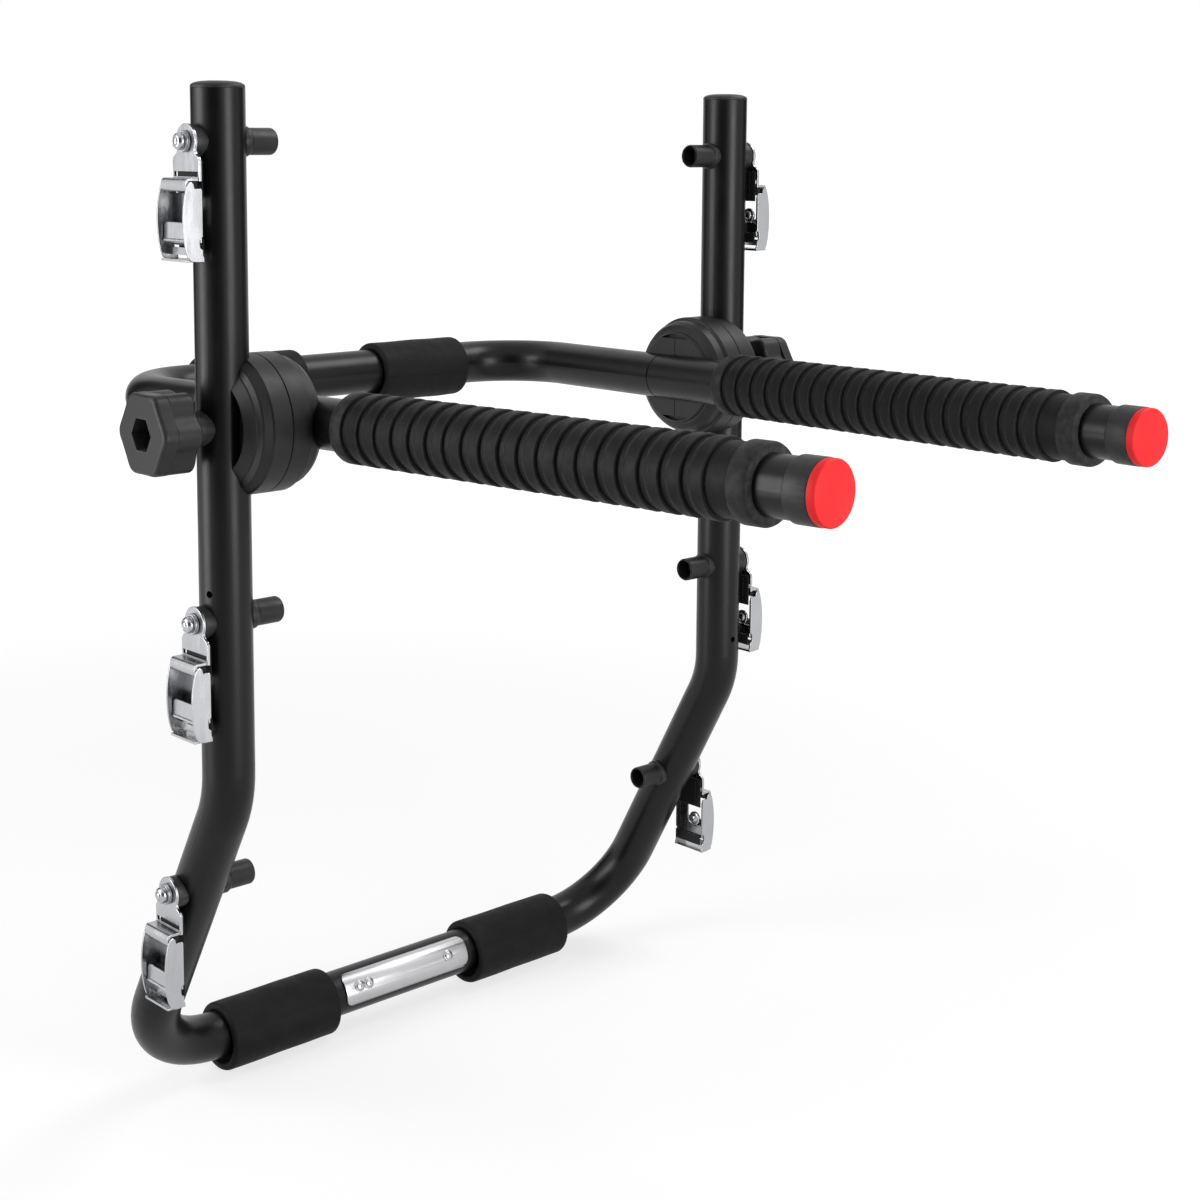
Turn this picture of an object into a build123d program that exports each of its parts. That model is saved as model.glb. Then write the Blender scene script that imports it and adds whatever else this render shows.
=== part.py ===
from build123d import *
import math
import os

# A strap-on bike carrier: a bent tube frame, two foam-gripped arms on screw-knob hinges, six strap buckles.
# Sizes are in millimetres. +Z is up, +Y points to the car and the arms point to -Y.
# The origin is the middle of the lower bar. Left is the -X side, and u is a distance inward from an upright.

# Tube stock
TUBE_R = 15.0
TUBE_WALL = 1.5
BORE_R = TUBE_R - TUBE_WALL
INSERT_WALL = 2.0

# Gaps between solids
TOUCH = 0.03
SHAFT_GAP = 0.05
MOVING_GAP = 0.3

# Frame tubes
HALF_WIDTH = 202.0
SETBACK = 110.5
UPRIGHT_TOP = 600.0
KNEE_Z = 197.8
KNEE_BEND_R = 60.0
CORNER_BEND_R = 58.0
INSERT_HALF_LENGTH = 60.0
DRAIN_HOLE_R = 2.0
DRAIN_HOLES = {"left": (319.8, -70.0), "right": (225.8, 0.0)}

# Foam sleeves on the lower bar
LOWER_FOAM_WALL = 4.8
LOWER_FOAM_SLACK = 2.2
LOWER_FOAM_LENGTH = 83.0
LOWER_FOAM_FROM_BEND = 1.0
FOAM_EDGE_R = 2.5

# Plate and its rivets
PLATE_HALF_LENGTH = 52.0
PLATE_THICKNESS = 1.3
PLATE_HALF_ANGLE = 41.0
PLATE_TILT = 26.0
PLATE_CORNER_R = 5.0
RIVET_POSITIONS = (-41.0, -33.4, 35.0)
RIVET_R = 1.5
RIVET_HEAD_R = 3.75

# Bolted strap stations: top, middle and bottom height on each side
TOP_STATION_DROPS = {"left": 29.0, "right": 38.0}
LEFT_STATIONS = (UPRIGHT_TOP - TOP_STATION_DROPS["left"], 303.3, 136.7)
RIGHT_STATIONS = (UPRIGHT_TOP - TOP_STATION_DROPS["right"], 278.0, 118.6)
STATION_HEIGHTS = {"left": LEFT_STATIONS, "right": RIGHT_STATIONS}
STATION_BOLT_R = 3.0
STATION_HEAD_R = 4.75
SPACER_R = 9.25
SPACER_THICKNESS = 4.0
TANG_THICKNESS = 1.8
WASHER_R = 6.0
WASHER_THICKNESS = 1.2
PIN_R = 7.6
PIN_FLARE_R = 8.8
PIN_BORE_R = 6.2
PIN_FLOOR = 5.5
PIN_LENGTH = 19.5
NUT_THICKNESS = 5.0
NUT_FLATS = 10.0

# Buckles
WEBBING_WIDTH = 25.0
WEBBING_THICKNESS = 1.85
WEBBING_ROLL_R = 1.9
EYE_R = 9.7
SHOULDER_INSET = 0.5
BUCKLE_WALL = 1.3
BUCKLE_WIDTH = WEBBING_WIDTH + 2 * BUCKLE_WALL
BUCKLE_LENGTH = 65.0
FOLD_DOWN = 21.3
FOLD_THICKNESS = 1.6
BASE_OUT = 4.5
BASE_THICKNESS = 1.0
BASE_TOP = 28.0
BASE_BOTTOM = 54.5
WINDOW_FLOOR = 45.7
WINDOW_EDGE = 1.2
WINDOW_CORNER_R = 5.0
STUD_Y = -5.6
STUD_DOWN = 40.6
STUD_R = 4.9
LEVER_PIVOT_OUT = 9.4
LEVER_PIVOT_DOWN = 53.0
CAM_R = 3.2
TRUNNION_R = 2.0
TRUNNION_REACH = 0.9
THUMB_TOP = 43.5
THUMB_OUT = 12.0
THUMB_THICKNESS = 1.4
THUMB_SIDE_GAP = 1.0

# Hinge
HINGE_Z = 412.9
DISC_R = 40.0
DISC_FACE = 5.0
SEAM = TUBE_R + DISC_FACE
SEAM_GAP = 0.4
SEAM_EDGE = 0.3
TEETH = 24
TOOTH_WIDTH = 1.6
TOOTH_HEIGHT = 1.6
TOOTH_RECESS = 2.0
TOOTH_RING_INNER_R = 21.0
TOOTH_RING_RIM = 6.0
MOULD_LINE = 0.5
BOSS_TOP = 45.8
SLOT_DEPTH = 3.4
SLOT_HEIGHT = 2.9
HINGE_BOLT_R = 5.0
BOLT_HEAD_R = 8.5
BOLT_HEAD_HEIGHT = 7.0
KNOB_SPACER_R = 10.0
KNOB_SPACER_LENGTH = 10.0
KNOB_SPACER_END = TUBE_R + KNOB_SPACER_LENGTH
KNOB_HUB = 2.0
KNOB_REAR_DEPTH = 16.0
KNOB_FRONT_DEPTH = 9.0
KNOB_REAR = KNOB_SPACER_END + KNOB_HUB
KNOB_SPLIT = KNOB_REAR + KNOB_REAR_DEPTH
KNOB_FRONT = KNOB_SPLIT + KNOB_FRONT_DEPTH
HINGE_NUT_SEAT = KNOB_REAR + 5.0
BOLT_PAST_NUT = 4.0
KNOB_MEAN_R = 23.3
KNOB_FRONT_LOBE = 1.2
KNOB_FRONT_FLATTENING = 0.17
KNOB_REAR_LOBE = 2.0
KNOB_LOBES = 6
KNOB_STEP = 0.8
HINGE_NUT_FLATS = 16.8
HINGE_NUT_THICKNESS = 8.0
HINGE_BOLT_END = HINGE_NUT_SEAT + HINGE_NUT_THICKNESS + BOLT_PAST_NUT

# Arms, measured by s along the arm from the hinge axis towards the tip
DISC_TO_ARM_TUBE = 11.0
ARM_INSET = SEAM + DISC_TO_ARM_TUBE + TUBE_R
TOE_IN = 4.0
ARM_RISE = 0.76
ARM_END = 378.0
JOINT_S = -12.0
JOINT_CHAMFER = 0.7
ARM_INSERT_START = -44.0
ARM_INSERT_END = 20.0
INSERT_HOLE_GAP = 0.5
GRIP_START = 57.0
GRIP_END = 349.0
GRIP_WALL = 5.2
GROOVE_DEPTH = 1.7
GROOVES = 20
FIRST_COLLAR = 10.0
LAST_COLLAR = 12.0
GROOVE_FLOOR = 3.2
GROOVE_SLOPE = 3.0
END_SLEEVE_START = 366.0
END_SLEEVE_WALL = 1.2
END_SLEEVE_LIP = 2.0
RED_CAP_STEP = 0.2
RED_CAP_THICKNESS = 5.0
RED_PLUG_GAP = 2.6

# Upper cross tube
CROSS_REACH = 177.5
CROSS_BEND_R = 50.0
UPPER_FOAM_WALL = 4.4
UPPER_FOAM_SLACK = 1.4
UPPER_FOAM_LENGTH = 74.0
UPPER_FOAM_FROM_BEND = 15.8

HINGE_Y = -SETBACK
TOE = math.radians(TOE_IN)
ARM_DIRECTION = Vector(math.sin(TOE), -math.cos(TOE), 0)
ARM_ROOT = Vector(-HALF_WIDTH + ARM_INSET, HINGE_Y, HINGE_Z)
LEG_DIRECTION = Vector(0, SETBACK, -KNEE_Z).normalized()
PIN_END = TUBE_R + PIN_LENGTH
GRIP_R = TUBE_R + GRIP_WALL
GROOVE_R = GRIP_R - GROOVE_DEPTH
END_SLEEVE_R = TUBE_R + END_SLEEVE_WALL
RED_CAP_R = END_SLEEVE_R - RED_CAP_STEP
RED_PLUG_R = BORE_R - RED_PLUG_GAP
CROSS_CORNER_X = HALF_WIDTH - ARM_INSET + CROSS_REACH * math.tan(TOE)
CROSS_STRAIGHT_X = CROSS_CORNER_X - CROSS_BEND_R * math.tan(math.radians(90 - TOE_IN) / 2)

parts = {}


def add(name, *shapes):
    solids = []
    for shape in shapes:
        solids.extend(shape.solids())
    parts[name] = solids[0] if len(solids) == 1 else Compound(children=solids)


def for_side(shape, side):
    return mirror(shape, about=Plane.YZ) if side == "right" else shape


def x_cylinder(radius, u_from, u_to, y, z):
    low = min(u_from, u_to)
    plane = Plane(origin=(-HALF_WIDTH + low, y, z), x_dir=(0, 1, 0), z_dir=(1, 0, 0))
    return Solid.make_cylinder(radius, abs(u_to - u_from), plane)


def x_turned(points, y, z):
    plane = Plane(origin=(-HALF_WIDTH, y, z), x_dir=(1, 0, 0), z_dir=(0, -1, 0))
    profile = plane * make_face(Polyline(*points, close=True))
    return revolve(profile, Axis((-HALF_WIDTH, y, z), (1, 0, 0)), 360)


def x_hexagon(flats, u_from, u_to, y, z):
    low = min(u_from, u_to)
    plane = Plane(origin=(-HALF_WIDTH + low, y, z), x_dir=(0, 1, 0), z_dir=(1, 0, 0))
    face = plane * RegularPolygon(flats / 2, 6, major_radius=False)
    return extrude(face, abs(u_to - u_from), dir=(1, 0, 0))


def rod(radius, start, end):
    start = Vector(start)
    reach = Vector(end) - start
    return Solid.make_cylinder(radius, reach.length, Plane(origin=start, z_dir=reach.normalized()))


def bent_path(points, radii):
    edges = []
    start = Vector(points[0])
    for index in range(1, len(points) - 1):
        corner = Vector(points[index])
        back = (Vector(points[index - 1]) - corner).normalized()
        ahead = (Vector(points[index + 1]) - corner).normalized()
        half_angle = math.radians(back.get_angle(ahead)) / 2
        reach = radii[index - 1] / math.tan(half_angle)
        inward = (back + ahead).normalized()
        centre = corner + inward * (radii[index - 1] / math.sin(half_angle))
        first = corner + back * reach
        last = corner + ahead * reach
        edges.append(Edge.make_line(start, first))
        edges.append(Edge.make_three_point_arc(first, centre - inward * radii[index - 1], last))
        start = last
    edges.append(Edge.make_line(start, Vector(points[-1])))
    return Wire(edges)


def bent_tube(points, radii):
    path = bent_path(points, radii)
    plane = Plane(origin=path @ 0, z_dir=path % 0)
    outer = sweep(plane * Circle(TUBE_R), path=path)
    inner = sweep(plane * Circle(BORE_R), path=path)
    return outer - inner


def sleeve(outer, inner, start, end, edge=0):
    ring = rod(outer, start, end) - rod(inner, start, end)
    if not edge:
        return ring
    rims = ring.edges().filter_by(GeomType.CIRCLE).filter_by(lambda rim: rim.radius > (outer + inner) / 2)
    return fillet(rims, edge)


def along_arm(s):
    return ARM_ROOT + ARM_DIRECTION * s


def arm_turned(points):
    plane = Plane(origin=ARM_ROOT, x_dir=ARM_DIRECTION, z_dir=(0, 0, 1))
    profile = plane * make_face(Polyline(*points, close=True))
    return revolve(profile, Axis(ARM_ROOT, ARM_DIRECTION), 360)


def raise_arm(shape):
    return shape.rotate(Axis((0, HINGE_Y, HINGE_Z), (1, 0, 0)), -ARM_RISE)


def station_y(height):
    return -SETBACK if height >= KNEE_Z else -SETBACK * height / KNEE_Z


def tube_at(height):
    direction = Vector(0, 0, 1) if height >= KNEE_Z else LEG_DIRECTION
    centre = Vector(-HALF_WIDTH, station_y(height), height)
    return rod(TUBE_R + TOUCH, centre - direction * 45, centre + direction * 45)


def frame_tube(side):
    top = (-HALF_WIDTH, -SETBACK, UPRIGHT_TOP)
    knee = (-HALF_WIDTH, -SETBACK, KNEE_Z)
    corner = (-HALF_WIDTH, 0, 0)
    joint = (-TOUCH, 0, 0)
    tube = bent_tube([top, knee, corner, joint], [KNEE_BEND_R, CORNER_BEND_R])
    for height in STATION_HEIGHTS[side]:
        hole_r = STATION_BOLT_R + SHAFT_GAP
        tube -= x_cylinder(hole_r, -TUBE_R - 5, TUBE_R + 5, station_y(height), height)
    tube -= x_cylinder(HINGE_BOLT_R + SHAFT_GAP, -TUBE_R - 5, TUBE_R + 5, HINGE_Y, HINGE_Z)
    height, turn = DRAIN_HOLES[side]
    face = Vector(math.sin(math.radians(turn)), -math.cos(math.radians(turn)), 0)
    centre = Vector(-HALF_WIDTH, -SETBACK, height)
    tube -= rod(DRAIN_HOLE_R, centre + face * 8, centre + face * 20)
    for position in RIVET_POSITIONS:
        on_side = -position if side == "right" else position
        tube -= rivet_line(on_side, RIVET_R + TOUCH, 8, 20)
    return tube


def plate_normal():
    tilt = math.radians(PLATE_TILT)
    return Vector(0, -math.cos(tilt), math.sin(tilt))


def rivet_line(position, radius, inner, outer):
    base = Vector(position, 0, 0)
    return rod(radius, base + plate_normal() * inner, base + plate_normal() * outer)


def upright_cap():
    rim = UPRIGHT_TOP + TOUCH
    spigot = BORE_R - TOUCH
    outline = [(0, rim - 12), (spigot - 0.6, rim - 12), (spigot, rim - 11.4), (spigot, rim), (TUBE_R, rim)]
    for step in range(7):
        angle = math.radians(90 * step / 7)
        outline.append((TUBE_R * math.cos(angle) ** 0.6, rim + 1.0 + 3.0 * math.sin(angle)))
    outline.append((0, rim + 4.0))
    plane = Plane(origin=(-HALF_WIDTH, -SETBACK, 0), x_dir=(1, 0, 0), z_dir=(0, -1, 0))
    profile = plane * make_face(Polyline(*outline, close=True))
    return revolve(profile, Axis((-HALF_WIDTH, -SETBACK, 0), (0, 0, 1)), 360)


def hanging_foam(slack, wall, length, end, y, z):
    bore = TUBE_R + slack
    drop = slack - TOUCH
    return sleeve(bore + wall, bore, (-end, y, z - drop), (-end + length, y, z - drop), FOAM_EDGE_R)


def name_plate():
    outer = TUBE_R + TOUCH + PLATE_THICKNESS
    ring = sleeve(outer, TUBE_R + TOUCH, (-PLATE_HALF_LENGTH, 0, 0), (PLATE_HALF_LENGTH, 0, 0))
    height = 2 * outer * math.sin(math.radians(PLATE_HALF_ANGLE))
    plane = Plane(origin=(0, 0, 0), x_dir=(1, 0, 0), z_dir=plate_normal())
    outline = plane * RectangleRounded(2 * PLATE_HALF_LENGTH, height, PLATE_CORNER_R)
    plate = ring & extrude(outline, 20, dir=plate_normal())
    for position in RIVET_POSITIONS:
        plate -= rivet_line(position, RIVET_R + TOUCH, 8, 20)
    return plate


def plate_rivet(position):
    seat = TUBE_R + PLATE_THICKNESS + 2 * TOUCH
    tail = BORE_R - INSERT_WALL - 0.5
    outline = [
        (0, seat + 1.9), (1.6, seat + 1.75), (2.6, seat + 1.3), (3.0, seat + 0.8),
        (RIVET_HEAD_R, seat + 0.6), (RIVET_HEAD_R, seat), (RIVET_R, seat), (RIVET_R, tail),
        (2.4, tail), (2.4, tail - 1.6), (0, tail - 2.2),
    ]
    plane = Plane(origin=(position, 0, 0), x_dir=(1, 0, 0), z_dir=plate_normal().cross(Vector(1, 0, 0)) * -1)
    profile = plane * make_face(Polyline(*outline, close=True))
    return revolve(profile, Axis((position, 0, 0), plate_normal()), 360)


def station_spacer(height):
    y = station_y(height)
    disc = x_cylinder(SPACER_R, -TUBE_R - SPACER_THICKNESS, -TUBE_R / 2, y, height)
    disc -= x_cylinder(STATION_BOLT_R + TOUCH, -TUBE_R - SPACER_THICKNESS - 1, 0, y, height)
    return disc - tube_at(height)


def washer_start():
    return TUBE_R + SPACER_THICKNESS + MOVING_GAP + TANG_THICKNESS + MOVING_GAP


def station_washers(height):
    y = station_y(height)
    washers = []
    for index in range(2):
        start = washer_start() + index * (WASHER_THICKNESS + TOUCH)
        ring = x_cylinder(WASHER_R, -start - WASHER_THICKNESS, -start, y, height)
        washers.append(ring - x_cylinder(STATION_BOLT_R + TOUCH, -start - 5, 0, y, height))
    return washers


def station_bolt(height):
    seat = -(washer_start() + 2 * (WASHER_THICKNESS + TOUCH))
    end = TUBE_R + PIN_FLOOR + TOUCH + NUT_THICKNESS + 1
    outline = [
        (end, 0), (end, 2.5), (end - 0.5, STATION_BOLT_R), (seat, STATION_BOLT_R),
        (seat, STATION_HEAD_R), (seat - 1.6, STATION_HEAD_R), (seat - 2.8, 4.3), (seat - 3.5, 3.5),
        (seat - 3.7, 2.8), (seat - 3.1, 2.6), (seat - 3.1, 2.2), (seat - 3.9, 2.0), (seat - 4.1, 0),
    ]
    return x_turned(outline, station_y(height), height)


def station_pin(height):
    y = station_y(height)
    floor = TUBE_R + PIN_FLOOR
    outline = [
        (TUBE_R / 2, 0), (TUBE_R / 2, PIN_FLARE_R), (TUBE_R + 1.8, PIN_FLARE_R), (TUBE_R + 3.2, PIN_R), (PIN_END - 0.8, PIN_R),
        (PIN_END, PIN_R - 0.8), (PIN_END, PIN_BORE_R + 0.5), (PIN_END - 0.6, PIN_BORE_R),
        (floor, PIN_BORE_R), (floor, 0),
    ]
    pin = x_turned(outline, y, height)
    pin -= x_cylinder(STATION_BOLT_R + TOUCH, 0, PIN_END, y, height)
    return pin - tube_at(height)


def station_nut(height):
    y = station_y(height)
    start = TUBE_R + PIN_FLOOR + TOUCH
    nut = x_hexagon(NUT_FLATS, start, start + NUT_THICKNESS, y, height)
    return nut - x_cylinder(STATION_BOLT_R + TOUCH, 0, PIN_END, y, height)


def buckle_place(shape, height):
    return shape.moved(Location((-HALF_WIDTH - TUBE_R, station_y(height), height)))


def outward_box(out_from, out_to, y_from, y_to, z_from, z_to):
    low = Vector(-max(out_from, out_to), min(y_from, y_to), min(z_from, z_to))
    size = (abs(out_to - out_from), abs(y_to - y_from), abs(z_to - z_from))
    return Solid.make_box(size[0], size[1], size[2], Plane(origin=low))


def outward_plate(points, y_from, y_to):
    outline = [(-out, z) for out, z in points]
    plane = Plane(origin=(0, max(y_from, y_to), 0), x_dir=(1, 0, 0), z_dir=(0, -1, 0))
    return extrude(plane * make_face(Polyline(*outline, close=True)), abs(y_to - y_from), dir=(0, -1, 0))


def y_rod(radius, out, z, y_from, y_to):
    return rod(radius, (-out, y_from, z), (-out, y_to, z))


def side_wall(y_from, y_to):
    end = -BUCKLE_LENGTH
    front = [(11.4, -21.5), (13.4, -23), (15, -28), (16.2, -35), (16.6, -42), (16.3, -50), (15.3, -57.5), (13.8, end + 2.4)]
    back = [
        (13.8, end + 2.4), (11.6, end + 0.5), (9, end), (3.8, end), (3.8, end + 2), (BASE_OUT, end + 3.6),
        (BASE_OUT, -58.4), (6, -57.4), (6.4, -55.8), (6.4, -53.8), (6, -52.4), (BASE_OUT, -51.4),
        (BASE_OUT, -26.4), (5.2, -25.4), (9.2, -25.4), (9.8, -22.8), (11.4, -21.5),
    ]
    plane = Plane(origin=(0, max(y_from, y_to), 0), x_dir=(-1, 0, 0), z_dir=(0, 1, 0))
    outline = Wire([*Spline(*front).edges(), *Polyline(*back).edges()])
    return extrude(plane * make_face(outline), abs(y_to - y_from), dir=(0, -1, 0))


def base_plate(inner):
    plate = outward_box(BASE_OUT, BASE_OUT + BASE_THICKNESS, -inner, inner, -BASE_BOTTOM, -BASE_TOP)
    low = BASE_OUT - 1
    high = BASE_OUT + BASE_THICKNESS + 1
    corner_y = WINDOW_EDGE - WINDOW_CORNER_R
    corner_z = -WINDOW_FLOOR + WINDOW_CORNER_R
    plate -= outward_box(low, high, -inner + 1, WINDOW_EDGE, corner_z, -BASE_TOP + 1)
    plate -= outward_box(low, high, -inner + 1, corner_y, -WINDOW_FLOOR, -BASE_TOP + 1)
    plate -= rod(WINDOW_CORNER_R, (-high, corner_y, corner_z), (-low, corner_y, corner_z))
    plate += outward_box(BASE_OUT, BASE_OUT + BASE_THICKNESS, STUD_Y - 2, STUD_Y + 2, -WINDOW_FLOOR - 1, -STUD_DOWN)
    middle = (0, STUD_Y, -STUD_DOWN)
    stud = [
        (BASE_OUT + BASE_THICKNESS, 0), (BASE_OUT + BASE_THICKNESS, STUD_R), (BASE_OUT - 0.4, STUD_R), (BASE_OUT - 0.9, STUD_R - 0.6),
        (BASE_OUT - 0.9, 2.8), (BASE_OUT - 1.9, 2.4), (BASE_OUT - 2.2, 1.8), (BASE_OUT - 2.2, 0),
    ]
    plane = Plane(origin=middle, x_dir=(-1, 0, 0), z_dir=(0, 1, 0))
    return plate + revolve(plane * make_face(Polyline(*stud, close=True)), Axis(middle, (1, 0, 0)), 360)


def buckle_frame():
    start = SPACER_THICKNESS + MOVING_GAP
    end = start + TANG_THICKNESS
    half = BUCKLE_WIDTH / 2 - SHOULDER_INSET
    tang = rod(EYE_R, (-end, 0, 0), (-start, 0, 0))
    right_side = [(8.6, -3), (8.8, -5), (9.8, -6.8), (half - 1.1, -8.4), (half, -10.4), (half, -FOLD_DOWN)]
    neck = right_side + [(-y, z) for y, z in reversed(right_side)]
    plane = Plane(origin=(-end, 0, 0), x_dir=(0, 1, 0), z_dir=(1, 0, 0))
    tang += extrude(plane * make_face(Polyline(*neck, close=True)), TANG_THICKNESS, dir=(1, 0, 0))
    tang -= rod(STATION_BOLT_R + SHAFT_GAP, (-end - 1, 0, 0), (-start + 1, 0, 0))
    tang -= outward_box(start - 1, end + 1, -half + 1.3, half - 1.3, -18.9, -16.4)
    outer = BUCKLE_WIDTH / 2
    inner = outer - BUCKLE_WALL
    reach = inner + 0.5
    shelf = -FOLD_DOWN + FOLD_THICKNESS
    frame = tang + outward_box(start, 11.5, -inner, inner, -FOLD_DOWN, shelf)
    frame += outward_plate(
        [
            (10.8, shelf), (12.4, shelf), (13.6, -20.6), (14.3, -22.6), (14.1, -25.2), (13.3, -26.8), (12.1, -27.2),
            (11.3, -26.4), (12.2, -25), (12.5, -22.8), (11.9, -FOLD_DOWN), (10.8, -FOLD_DOWN),
        ],
        -reach, reach,
    )
    frame += side_wall(-outer, -inner)
    frame += side_wall(inner, outer)
    frame += base_plate(reach)
    frame += outward_box(8.4, 9.6, -reach, reach, -61.6, -57.4)
    frame += outward_box(BASE_OUT, 14.8, -reach, reach, -BUCKLE_LENGTH, -BUCKLE_LENGTH + 1.4)
    seat = inner + TRUNNION_REACH + SHAFT_GAP
    frame -= y_rod(TRUNNION_R + SHAFT_GAP, LEVER_PIVOT_OUT, -LEVER_PIVOT_DOWN, -seat, seat)
    return frame


def cam_lever():
    outer = BUCKLE_WIDTH / 2
    inner = outer - BUCKLE_WALL - MOVING_GAP
    pivot = (LEVER_PIVOT_OUT, -LEVER_PIVOT_DOWN)
    cam = y_rod(CAM_R, pivot[0], pivot[1], -inner, inner)
    reach = outer - BUCKLE_WALL + TRUNNION_REACH
    cam += y_rod(TRUNNION_R, pivot[0], pivot[1], -reach, reach)
    for turn in (-30, -5, 20):
        angle = math.radians(turn)
        out = pivot[0] - CAM_R * math.cos(angle)
        z = pivot[1] + CAM_R * math.sin(angle)
        cam += y_rod(0.35, out, z, -inner + 1, inner - 1)
    half = outer - BUCKLE_WALL - THUMB_SIDE_GAP
    thumb = outward_box(THUMB_OUT, THUMB_OUT + THUMB_THICKNESS, -half, half, pivot[1], -THUMB_TOP)
    top_edges = thumb.edges().filter_by(Axis.X).group_by(Axis.Z)[-1]
    thumb = fillet(top_edges, 3)
    lip = outward_box(THUMB_OUT, THUMB_OUT + 2.2, -half, half, pivot[1] - 1.2, pivot[1] + 0.5)
    return cam + thumb + lip


def buckle_webbing():
    half = WEBBING_WIDTH / 2
    outer = SPACER_THICKNESS + MOVING_GAP - TOUCH
    inner = outer - WEBBING_THICKNESS
    upper = outward_box(inner, outer, -half, half, -30.8, -SPACER_R - 1.1)
    tail = outward_box(inner, outer, -half, half, -59.3, -BASE_BOTTOM + 2)
    roll = y_rod(WEBBING_ROLL_R, 7.9, -FOLD_DOWN - TOUCH - WEBBING_ROLL_R, 1 - half, half - 1)
    return [upper, roll, tail]


def tooth_ring(u_from, u_to):
    teeth = []
    for index in range(TEETH):
        corner = (-HALF_WIDTH + u_from, HINGE_Y - TOOTH_WIDTH / 2, HINGE_Z + TOOTH_RING_INNER_R + 0.2)
        length = DISC_R - TOOTH_RING_RIM - TOOTH_RING_INNER_R - 0.4
        tooth = Solid.make_box(u_to - u_from, TOOTH_WIDTH, length, Plane(origin=corner))
        teeth.append(tooth.rotate(Axis((0, HINGE_Y, HINGE_Z), (1, 0, 0)), 360 / TEETH * (index + 0.5)))
    return teeth


def outer_disc():
    face = SEAM - SEAM_GAP / 2
    ring = DISC_R - TOOTH_RING_RIM
    outline = [
        (face - 18.8, 0), (face - 18.8, DISC_R - 18.5), (face - 23.6, DISC_R - 14), (face - 23.8, DISC_R - 13.4),
        (face - 23.4, DISC_R - 12.8), (face - 19.8, DISC_R - 7.2), (face - 19, DISC_R - 6.8), (face - 17.8, DISC_R - 3.4),
        (face - 17, DISC_R - 2.8), (face - 12.9, DISC_R - 0.9), (face - 12, DISC_R),
        (face - SEAM_EDGE, DISC_R), (face, DISC_R - SEAM_EDGE), (face, ring), (face - TOOTH_RECESS, ring),
        (face - TOOTH_RECESS, TOOTH_RING_INNER_R), (face, TOOTH_RING_INNER_R), (face, 0),
    ]
    disc = x_turned(outline, HINGE_Y, HINGE_Z)
    disc += tooth_ring(face - TOOTH_RECESS - 0.5, face - TOOTH_RECESS + TOOTH_HEIGHT)
    disc -= tube_at(HINGE_Z)
    return disc - x_cylinder(HINGE_BOLT_R + SHAFT_GAP, 0, SEAM + 10, HINGE_Y, HINGE_Z)


def inner_disc():
    face = SEAM + SEAM_GAP / 2
    ring = DISC_R - TOOTH_RING_RIM
    boss = ring - 3
    top = BOSS_TOP - face
    outline = [
        (face, 0), (face, TOOTH_RING_INNER_R), (face + TOOTH_RECESS, TOOTH_RING_INNER_R),
        (face + TOOTH_RECESS, ring), (face, ring), (face, DISC_R - SEAM_EDGE), (face + SEAM_EDGE, DISC_R),
        (face + 12.2, DISC_R), (face + 12.8, DISC_R - 0.6), (face + 13, DISC_R - 1.8), (face + 19, DISC_R - 2.8),
        (face + 21.8, DISC_R - 4.6), (face + top - 2, boss + 1.4), (face + top - 2, boss),
        (face + top - 0.6, boss - 0.4), (face + top, boss - 1), (face + top, 0),
    ]
    disc = x_turned(outline, HINGE_Y, HINGE_Z)
    disc += tooth_ring(face + TOOTH_RECESS - TOOTH_HEIGHT, face + TOOTH_RECESS + 0.5)
    disc -= rod(TUBE_R + TOUCH, along_arm(-60), along_arm(60))
    slot_floor = BOSS_TOP - SLOT_DEPTH
    for sign in (-1, 1):
        slot = x_cylinder(boss - 1.6, slot_floor, slot_floor + 5, HINGE_Y, HINGE_Z)
        near = HINGE_Z + sign * (boss - 1.6 - SLOT_HEIGHT)
        corner = (-HALF_WIDTH + slot_floor - 2, HINGE_Y - boss, min(near, near + sign * boss))
        disc -= slot & Solid.make_box(10, 2 * boss, boss, Plane(origin=corner))
    line = Plane(origin=(-HALF_WIDTH + BOSS_TOP - 0.4, HINGE_Y - MOULD_LINE / 2, HINGE_Z - boss))
    disc -= Solid.make_box(2, MOULD_LINE, 2 * boss, line)
    return disc - x_cylinder(HINGE_BOLT_R + TOUCH, 10, ARM_INSET, HINGE_Y, HINGE_Z)


def hinge_bolt():
    seat = ARM_INSET - BORE_R
    bolt = x_cylinder(HINGE_BOLT_R, -HINGE_BOLT_END, seat + 2.5, HINGE_Y, HINGE_Z)
    head = x_cylinder(BOLT_HEAD_R, seat - 5, seat + BOLT_HEAD_HEIGHT, HINGE_Y, HINGE_Z)
    head = head & rod(BORE_R - TOUCH, along_arm(-30), along_arm(30))
    return bolt + head


def knob_spacer():
    spacer = x_cylinder(KNOB_SPACER_R, -KNOB_SPACER_END, -TUBE_R / 2, HINGE_Y, HINGE_Z)
    spacer -= x_cylinder(HINGE_BOLT_R + SHAFT_GAP, -KNOB_SPACER_END - 5, 0, HINGE_Y, HINGE_Z)
    return spacer - tube_at(HINGE_Z)


def knob_outline(inset, lobe, flattening, u_from, u_to):
    points = []
    for index in range(72):
        angle = math.radians(index * 5)
        radius = KNOB_MEAN_R - inset + lobe * math.cos(KNOB_LOBES * angle)
        radius += flattening * math.cos(2 * KNOB_LOBES * angle)
        points.append((radius * math.cos(angle), radius * math.sin(angle)))
    plane = Plane(origin=(-HALF_WIDTH - u_to, HINGE_Y, HINGE_Z), x_dir=(0, 1, 0), z_dir=(1, 0, 0))
    face = plane * make_face(Spline(*points, periodic=True))
    return extrude(face, u_to - u_from, dir=(1, 0, 0))


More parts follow.
